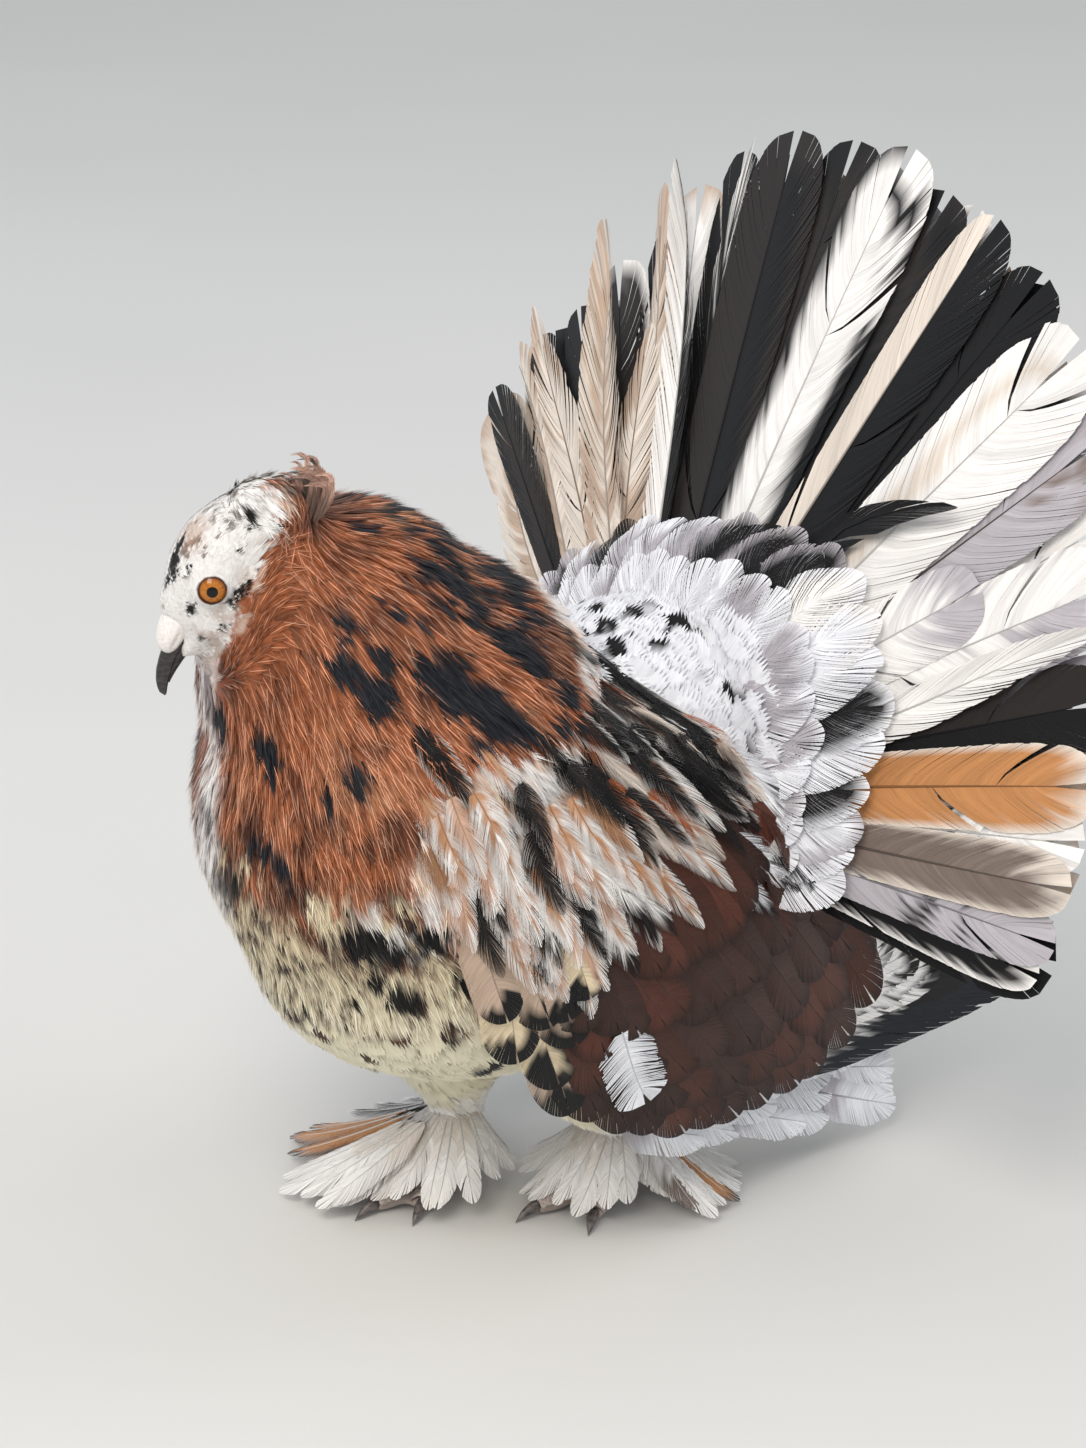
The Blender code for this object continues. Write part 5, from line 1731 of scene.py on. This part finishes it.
def colour_coat(mesh, lighter):
    """Gives the small feathers the skin's markings, ragged from feather to feather, with pale shafts."""
    at = to_drawing(mesh_points(mesh))
    at[:, 2] = np.maximum(at[:, 2], FLOOR_GAP)
    mesh.vertices.foreach_set("co", to_model(at).astype(np.float32).ravel())
    root, luck = get_values(mesh, "root_at"), get_values(mesh, "luck", 1)
    along, across, shaft = (get_values(mesh, name, 1) for name in ("vane_along", "vane_across", "shaft"))
    seen = root + (at - root) * 0.3
    seen += (np.stack([noise(root, 0.9, seed) for seed in (71, 73, 75)], 1) - 0.5) * 3.0
    colours = markings(seen, unit(at - root + 1e-6))
    bright = colours.mean(1)
    # Feathers are darker at the root, where the ones above shade them, and differ from one to the next
    floor = np.interp(bright, (0.1, 0.5), (0.45, 0.92))
    depth = floor + (1 - floor) * np.clip(along * 1.3, 0, 1)
    depth = depth * (1 + (luck - 0.5) * np.interp(bright, (0.1, 0.5), (0.55, 0.12)))
    colours = colours * depth[:, None]
    pale = np.where(shaft > 0.5, 1.0, 0.16 * smooth_step((along - 0.5) / 0.5)) * lighter * (0.2 + 1.1 * luck)
    warm = np.interp(bright, (0.02, 0.08), (0.02, 0.27))[:, None] * (1, 0.86, 0.68)
    colours = mix(colours, np.clip(colours * 1.35 + warm, 0, 0.92), pale)
    paint_vertices(mesh, np.clip(colours, 0.002, 0.95))
    set_values(mesh, "grain", np.stack([across * 1.6 + luck * 500, along * 6, along * 0], 1))
    for name in WORKING_VALUES:
        layer = mesh.attributes.get(name)
        if layer:
            mesh.attributes.remove(layer)


def ring_faces(ring, sides):
    """The faces between a ring of points and the next one, where all rings have as many sides."""
    first = ring * sides
    turned = [(i, (i + 1) % sides) for i in range(sides)]
    return [(first + i, first + j, first + sides + j, first + sides + i) for i, j in turned]


def revolved(centre, axis, profile, sides=32, squash=(1.0, 1.0), side_axis=None):
    """Rings round an axis: profile gives distance along it and radius for each ring, closed where 0."""
    axis = unit(axis)
    first = unit(np.cross(axis, UP) if side_axis is None else side_axis)
    second = np.cross(axis, first)
    points, faces = [], []
    for k, (distance, radius) in enumerate(profile):
        ring = np.asarray(centre) + axis * distance
        for a in np.arange(sides) * 2 * math.pi / sides:
            out = first * math.cos(a) * squash[0] + second * math.sin(a) * squash[1]
            points.append(ring + out * radius)
        faces += ring_faces(k - 1, sides) if k else []
    return np.array(points), faces


def closed_mesh(name, points, faces, material):
    """An object from rings whose ends close to a point, merged and turned outwards."""
    made = mesh_object(name, points, faces, material)
    merge = 0.02 * MM
    bm = bmesh.new()
    bm.from_mesh(made.data)
    bmesh.ops.remove_doubles(bm, verts=bm.verts, dist=merge)
    bmesh.ops.dissolve_degenerate(bm, edges=bm.edges, dist=merge / 2)
    holes = [edge for edge in bm.edges if edge.is_boundary]
    if holes:
        bmesh.ops.holes_fill(bm, edges=holes)
    bmesh.ops.recalc_face_normals(bm, faces=bm.faces)
    bm.to_mesh(made.data)
    bm.free()
    made.data.shade_smooth()
    return made


def off_axis(points, centre, axis):
    """How far the points lie from an axis, and their places against its centre."""
    away = points - centre
    return np.linalg.norm(away - (away @ axis)[:, None] * axis, axis=1), away


def build_eyes():
    """Eyeballs set deep in their sockets, each with a dark pupil, an amber iris and a thin pale lid."""
    wet = eye_material()
    lid = skin_material("lid_skin", 0.9, 1.1)
    for word, side in SIDES.items():
        axis = unit(HEAD_AXES[1] * side + HEAD_AXES[0] * 0.1 + HEAD_AXES[2] * 0.04)
        ball = on_head((0, side * EYE_OUT, 0))
        profile = [(EYE_RADIUS * math.cos(a), EYE_RADIUS * math.sin(a)) for a in np.linspace(0, 0.96, 30)]
        points, faces = revolved(ball, axis, profile + EYE_BACK, 48)
        made = closed_mesh(f"eyeball_{word}", points, faces, wet)
        drawn = to_drawing(mesh_points(made.data))
        radius, away = off_axis(drawn, ball, axis)
        radius = np.where(away @ axis > 0, radius, 9.0)
        turn = np.arctan2(away @ np.cross(axis, HEAD_AXES[0]), away @ HEAD_AXES[0])
        streak = noise(np.stack([turn * 9, radius, radius * 0], 1), 1.0, 81)
        colours = mix("iris", "iris_deep", (streak - 0.4) * 1.2)
        colours = mix(colours, "iris_deep", (radius - 2.7) / 0.9)
        colours = mix(colours, "iris_rim", (radius - 3.45) / 0.2)
        colours = mix(colours, (0.003, 0.002, 0.002), (1.62 - radius) / 0.14)
        paint_vertices(made.data, colours)
        finish_piece(made, "eye_orange", [f"eye_{word}"])

        points, faces = revolved(ball, axis, LID_RINGS, 56, (1.05, 0.95), HEAD_AXES[0])
        wave = noise(points, 0.8, 83) - 0.5
        points = points + (points - ball) * (wave * 0.02)[:, None]
        made = closed_mesh(f"eyelid_{word}", points, faces, lid)
        drawn = to_drawing(mesh_points(made.data))
        radius = off_axis(drawn, ball, axis)[0] + (noise(drawn, 0.7, 85) - 0.5) * 0.3
        shown = mix("lid_dark", "lid_pale", (radius - 3.74) / 0.2)
        outside = markings(drawn, lie_of(drawn, mesh_normals(made.data)))
        paint_vertices(made.data, mix(shown, outside, (radius - 3.95) / 0.25))
        finish_piece(made, "cere_skin")


# The bill from the side, along the head's axes: distance ahead, top, gape, underside and half width
BILL_SIDE = (
    (12.0, 0.4, -3.8, -8.9, 4.2), (16.0, 0.4, -4.2, -9.0, 3.9), (20.0, -0.4, -4.6, -8.8, 3.4),
    (23.5, -1.8, -5.3, -8.7, 2.9), (27.0, -3.0, -6.4, -8.9, 2.4), (30.0, -4.3, -7.6, -9.3, 1.8),
    (32.5, -6.0, -8.9, -9.9, 1.2), (34.0, -7.5, -9.8, -10.2, 0.6), (34.9, -9.0, -10.2, -10.3, 0.15),
)
TOE_SHARES = (0, 0.33, 0.66, 1)              # where along a toe its height and radius are given


def build_bill():
    """The bill's two halves closed along the gape, and the cere."""
    horn = horn_material("bill_keratin", "#131314", "#3F3B39", 0.3, 2.0, 0.04, (1, 1, 2.5))
    side_view = np.array(BILL_SIDE)
    ahead = np.linspace(side_view[0, 0], side_view[-1, 0], 36)
    top, gape, under, half = (np.interp(ahead, side_view[:, 0], side_view[:, k]) for k in (1, 2, 3, 4))
    half = half * 0.9
    sides = 24
    for name, high, low, last in (("bill_upper", top, gape, 36), ("bill_lower", gape, under, 31)):
        points, faces = [], []
        upper = name == "bill_upper"
        for k in range(last):
            inset = 1.0 if upper else 0.86
            shut = 1.0 if k < last - 1 else 0.05
            for angle in np.arange(sides) * 2 * math.pi / sides:
                across = math.copysign(abs(math.cos(angle)) ** 0.9, math.cos(angle)) * half[k] * inset * shut
                rise = math.sin(angle)
                deep = high[k] - low[k]
                if upper:
                    level = low[k] - 0.25 + 0.3 * rise if rise < 0 else low[k] + deep * rise ** 0.85
                    level -= 0.5 * (abs(across) / max(half[k], 0.1)) * (rise < 0)
                else:
                    level = high[k] - 0.1 if rise > 0 else high[k] + deep * -abs(rise) ** 0.8 * shut
                points.append(on_head((ahead[k], across, level)))
            faces += ring_faces(k - 1, sides) if k else []
        finish_piece(closed_mesh(f"{name}_horn", np.array(points), faces, horn), "bill_horn", [name])
    build_cere()


def build_cere():
    """The pale powdery swelling over the root of the bill, in two lobes with a nostril slit under each."""
    powder = horn_material("cere_powder", "#DDD5CF", "#F3F0ED", 0.75, 0.9, 0.05)
    sides, rings = 48, 34
    points, faces = [], []
    for k, a in enumerate(np.linspace(0, math.pi, rings + 1)):
        ahead = 16.7 - 7.9 * math.cos(a)
        wide = math.sin(a) ** 0.7
        for turn in np.arange(sides) * 2 * math.pi / sides:
            across, up = math.cos(turn) * 5.5 * wide, math.sin(turn) * 4.2 * wide
            groove = 0.6 * math.exp(-((across / 0.7) ** 2)) * (up > 0)
            slit = 0.9 * math.exp(-(((up + 1.3) / 0.4) ** 2)) * math.exp(-(((ahead - 19.5) / 2.4) ** 4))
            across *= 1 - slit / 4.7 * (abs(across) > 1.5)
            points.append(on_head((ahead, across, -0.9 - 0.2 * (ahead - 17) + up - groove)))
        faces += ring_faces(k - 1, sides) if k else []
    finish_piece(closed_mesh("cere_swelling", np.array(points), faces, powder), "cere_skin", ["cere"])


def build_toe_scales(word, toes, material):
    """Arched scales in a row over each toe."""
    points, faces = [], []
    for _, length, start, away, across in toes:
        count = max(6, int(length / 1.9))
        for number in range(count):
            share = 0.12 + 0.88 * number / count
            centre_at = start + away * (length * share - 2)
            height = np.interp(share, TOE_SHARES, (9.0, 6.2, 3.4, 2.6))
            radius = np.interp(share, TOE_SHARES, (5.0, 4.6, 4.2, 3.4)) + 0.25
            first = len(points)
            for i, (ahead, raised) in enumerate(((-1.0, 0.28), (-0.1, 0.52), (0.8, 0.46), (1.25, 0.0))):
                for j, angle in enumerate(np.radians(np.linspace(-62, 62, 7))):
                    reach = radius + (raised - 0.22 * abs(j - 3) / 3)
                    at = centre_at + away * ahead + across * math.sin(angle) * reach
                    points.append(at + UP * max(0.3, height + math.cos(angle) * reach))
                    if i and j:
                        a = first + (i - 1) * 7 + j - 1
                        faces.append((a, a + 1, a + 8, a + 7))
    scales = mesh_object(f"toe_scales_{word}", np.array(points), faces, material)
    thick = scales.modifiers.new("thick", "SOLIDIFY")
    thick.thickness, thick.offset = 0.5 * MM, -1
    settle(scales, scales.name)
    finish_piece(scales, "toe_skin")


def build_toes():
    """Scales over the toes in rows, and the claws."""
    scale_skin = horn_material("toe_scale", "#8C7C74", "#C9BDB4", 0.5, 0.8, 0.05)
    horn = horn_material("claw_keratin", "#2A2727", "#7E7470", 0.35, 3.0, 0.04, (1, 1, 3))
    for word, side in SIDES.items():
        place, heading = np.array(FEET[word][0], float), FEET[word][1]
        ways = {toe: floor_direction(float(heading + turn * side)) for toe, (_, turn) in TOES.items()}
        toes = [(toe, TOES[toe][0], place, away, np.cross(UP, away)) for toe, away in ways.items()]
        build_toe_scales(word, toes, scale_skin)
        for toe, length, _, away, across in toes:
            start = place + away * (length - 2) + UP * 2.6
            points, faces = [], []
            for step in range(15):
                share = step / 14
                centre_at = start + away * (8 * share - 1.0) + UP * (1.1 - 3.4 * share * share)
                radius = np.interp(share, (0, 0.35, 0.7, 1), (2.1, 1.8, 1.15, 0.05))
                for angle in 2 * math.pi * np.arange(16) / 16:
                    at = centre_at + across * math.cos(angle) * radius * 0.85 + UP * math.sin(angle) * radius
                    points.append(np.maximum(at, (-np.inf, -np.inf, FLOOR_GAP)))
                faces += ring_faces(step - 1, 16) if step else []
            made = closed_mesh(f"claw_horn_{word}_{toe}", np.array(points), faces, horn)
            finish_piece(made, "claw_horn", [f"claw_{word}_{toe}"])


def aimed(name, data, place, aim):
    """A lamp or a camera at its place, turned to what it looks at."""
    holder = placed(name, data)
    holder.location = place
    holder.rotation_euler = (Vector(aim) - Vector(place)).to_track_quat("-Z", "Y").to_euler()
    return holder


def build_stage(stage):
    """A plain pale floor, soft studio light and the camera at the photograph's angle."""
    floor_mesh = bpy.data.meshes.new("floor")
    half = stage.floor_size / 2
    corners = [(-half, -half, 0), (half, -half, 0), (half, half, 0), (-half, half, 0)]
    floor_mesh.from_pydata(corners, [], [(0, 1, 2, 3)])
    made, tree, shader = new_material("pale_studio_floor", Roughness=0.9)
    ramp_colour(tree, shader, object_noise(tree, 3.0, 2.0), "#D6D5D2", "#DEDDDA")
    floor_mesh.materials.append(made)
    placed("floor", floor_mesh)

    world = bpy.data.worlds.new("studio")
    world.use_nodes = True
    background = world.node_tree.nodes["Background"].inputs
    background["Color"].default_value = (*to_linear("#EEF2F6"), 1)
    background["Strength"].default_value = stage.sky
    bpy.context.scene.world = world
    for name, place_at, size, power, tint in (
        ("key_light", (0.55, -0.95, 1.25), 0.7, stage.key, "#FFF8F0"),
        ("fill_light", (-1.2, -0.5, 0.8), 1.2, stage.key * 0.25, "#F2F6FF"),
        ("back_light", (0.5, 1.2, 1.1), 0.8, stage.key * 0.4, "#FFFFFF"),
    ):
        lamp = bpy.data.lights.new(name, "AREA")
        lamp.size, lamp.energy, lamp.color = size, power, to_linear(tint)
        aimed(name, lamp, place_at, (0, 0, 0.13))

    lens = bpy.data.cameras.new("camera")
    lens.sensor_width = 36.0
    lens.lens = stage.lens
    lens.clip_start, lens.clip_end = 0.05, 50
    place_at, aim = Vector(stage.camera_at) * MM, Vector(stage.camera_aim) * MM
    bpy.context.scene.camera = aimed("camera", lens, place_at, aim)
    bpy.context.scene.view_settings.view_transform = "Standard"


class CoatSettings(bpy.types.PropertyGroup):
    skin_grain: FloatProperty(
        name="Skin grain", description="Size of the skin's facets in millimetres", default=1.7, min=1.0,
        max=4.0,
    )
    spacing: FloatProperty(
        name="Spacing", description="Spacing of the small feathers against the normal", default=1.0,
        min=0.5, max=3.0,
    )
    barbs: FloatProperty(
        name="Barbs", description="Number of barbs in a flight feather against the normal", default=1.0,
        min=0.2, max=2.0,
    )


class StageSettings(bpy.types.PropertyGroup):
    floor_size: FloatProperty(
        name="Floor", description="Side of the square floor", default=30.0, unit="LENGTH",
    )
    sky: FloatProperty(
        name="Sky", description="Strength of the even light from all round", default=0.72, min=0.0,
    )
    key: FloatProperty(
        name="Key", description="Power of the main soft light", default=14.5, min=0.0, unit="POWER",
    )
    lens: FloatProperty(name="Lens", description="Focal length in millimetres", default=91.49, min=20.0)
    camera_at: FloatVectorProperty(
        name="Camera", description="The camera's place in millimetres", default=(747.87, -657.415, 550.8),
    )
    camera_aim: FloatVectorProperty(
        name="Aim", description="What the camera looks at, in millimetres", default=(-68.93, 27.985, 120.0),
    )


class PIGEON_OT_stage(bpy.types.Operator):
    """Makes the floor, the lights and the camera"""

    bl_idname = "pigeon.stage"
    bl_label = "Stage"

    def execute(self, context):
        build_stage(context.scene.pigeon_stage)
        return {"FINISHED"}


class PIGEON_OT_skin(bpy.types.Operator):
    """Moulds one skin from the flesh nodes and marks it"""

    bl_idname = "pigeon.skin"
    bl_label = "Skin"

    def execute(self, context):
        build_skin(context.scene.pigeon_coat)
        return {"FINISHED"}


class PIGEON_OT_head(bpy.types.Operator):
    """Makes the eyes, lids, bill, cere and crest"""

    bl_idname = "pigeon.head"
    bl_label = "Head"

    def execute(self, context):
        build_eyes()
        build_bill()
        build_crest()
        return {"FINISHED"}


class PIGEON_OT_tail(bpy.types.Operator):
    """Makes the fan of tail feathers and the soft feathers over its root"""

    bl_idname = "pigeon.tail"
    bl_label = "Tail"

    def execute(self, context):
        build_tail(context.scene.pigeon_coat)
        build_coverts()
        return {"FINISHED"}


class PIGEON_OT_wings(bpy.types.Operator):
    """Makes the feathers of both folded wings"""

    bl_idname = "pigeon.wings"
    bl_label = "Wings"

    def execute(self, context):
        for word, side in SIDES.items():
            build_wing(side, word, context.scene.pigeon_coat)
        return {"FINISHED"}


class PIGEON_OT_legs(bpy.types.Operator):
    """Makes the leg and foot feathers, toe scales and claws"""

    bl_idname = "pigeon.legs"
    bl_label = "Legs and feet"

    def execute(self, context):
        for word, side in SIDES.items():
            build_leg_feathers(side, word)
        build_toes()
        return {"FINISHED"}


class PIGEON_OT_coat(bpy.types.Operator):
    """Lays the small feathers over the skin"""

    bl_idname = "pigeon.coat"
    bl_label = "Small feathers"

    def execute(self, context):
        if "skin" not in MADE:
            raise RuntimeError("make the skin before the small feathers")
        build_coat(context.scene.pigeon_coat)
        return {"FINISHED"}


class PIGEON_PT_panel(bpy.types.Panel):
    bl_label = "Fantail pigeon"
    bl_idname = "PIGEON_PT_panel"
    bl_space_type = "VIEW_3D"
    bl_region_type = "UI"
    bl_category = "Pigeon"

    def draw(self, context):
        for step in STEPS:
            self.layout.operator(step.bl_idname)
        for name in ("skin_grain", "spacing", "barbs"):
            self.layout.prop(context.scene.pigeon_coat, name)
        for name in ("floor_size", "sky", "key", "lens"):
            self.layout.prop(context.scene.pigeon_stage, name)


STEPS = (
    PIGEON_OT_stage, PIGEON_OT_skin, PIGEON_OT_head, PIGEON_OT_tail, PIGEON_OT_wings, PIGEON_OT_legs,
    PIGEON_OT_coat,
)
CLASSES = (CoatSettings, StageSettings, *STEPS, PIGEON_PT_panel)


def register():
    for made in CLASSES:
        bpy.utils.register_class(made)
    bpy.types.Scene.pigeon_coat = PointerProperty(type=CoatSettings)
    bpy.types.Scene.pigeon_stage = PointerProperty(type=StageSettings)


def unregister():
    del bpy.types.Scene.pigeon_stage
    del bpy.types.Scene.pigeon_coat
    for made in reversed(CLASSES):
        bpy.utils.unregister_class(made)


def main():
    register()
    bpy.ops.pigeon.stage()
    bpy.ops.pigeon.skin()
    bpy.ops.pigeon.head()
    bpy.ops.pigeon.tail()
    bpy.ops.pigeon.wings()
    bpy.ops.pigeon.legs()
    bpy.ops.pigeon.coat()


if __name__ == "__main__":
    main()
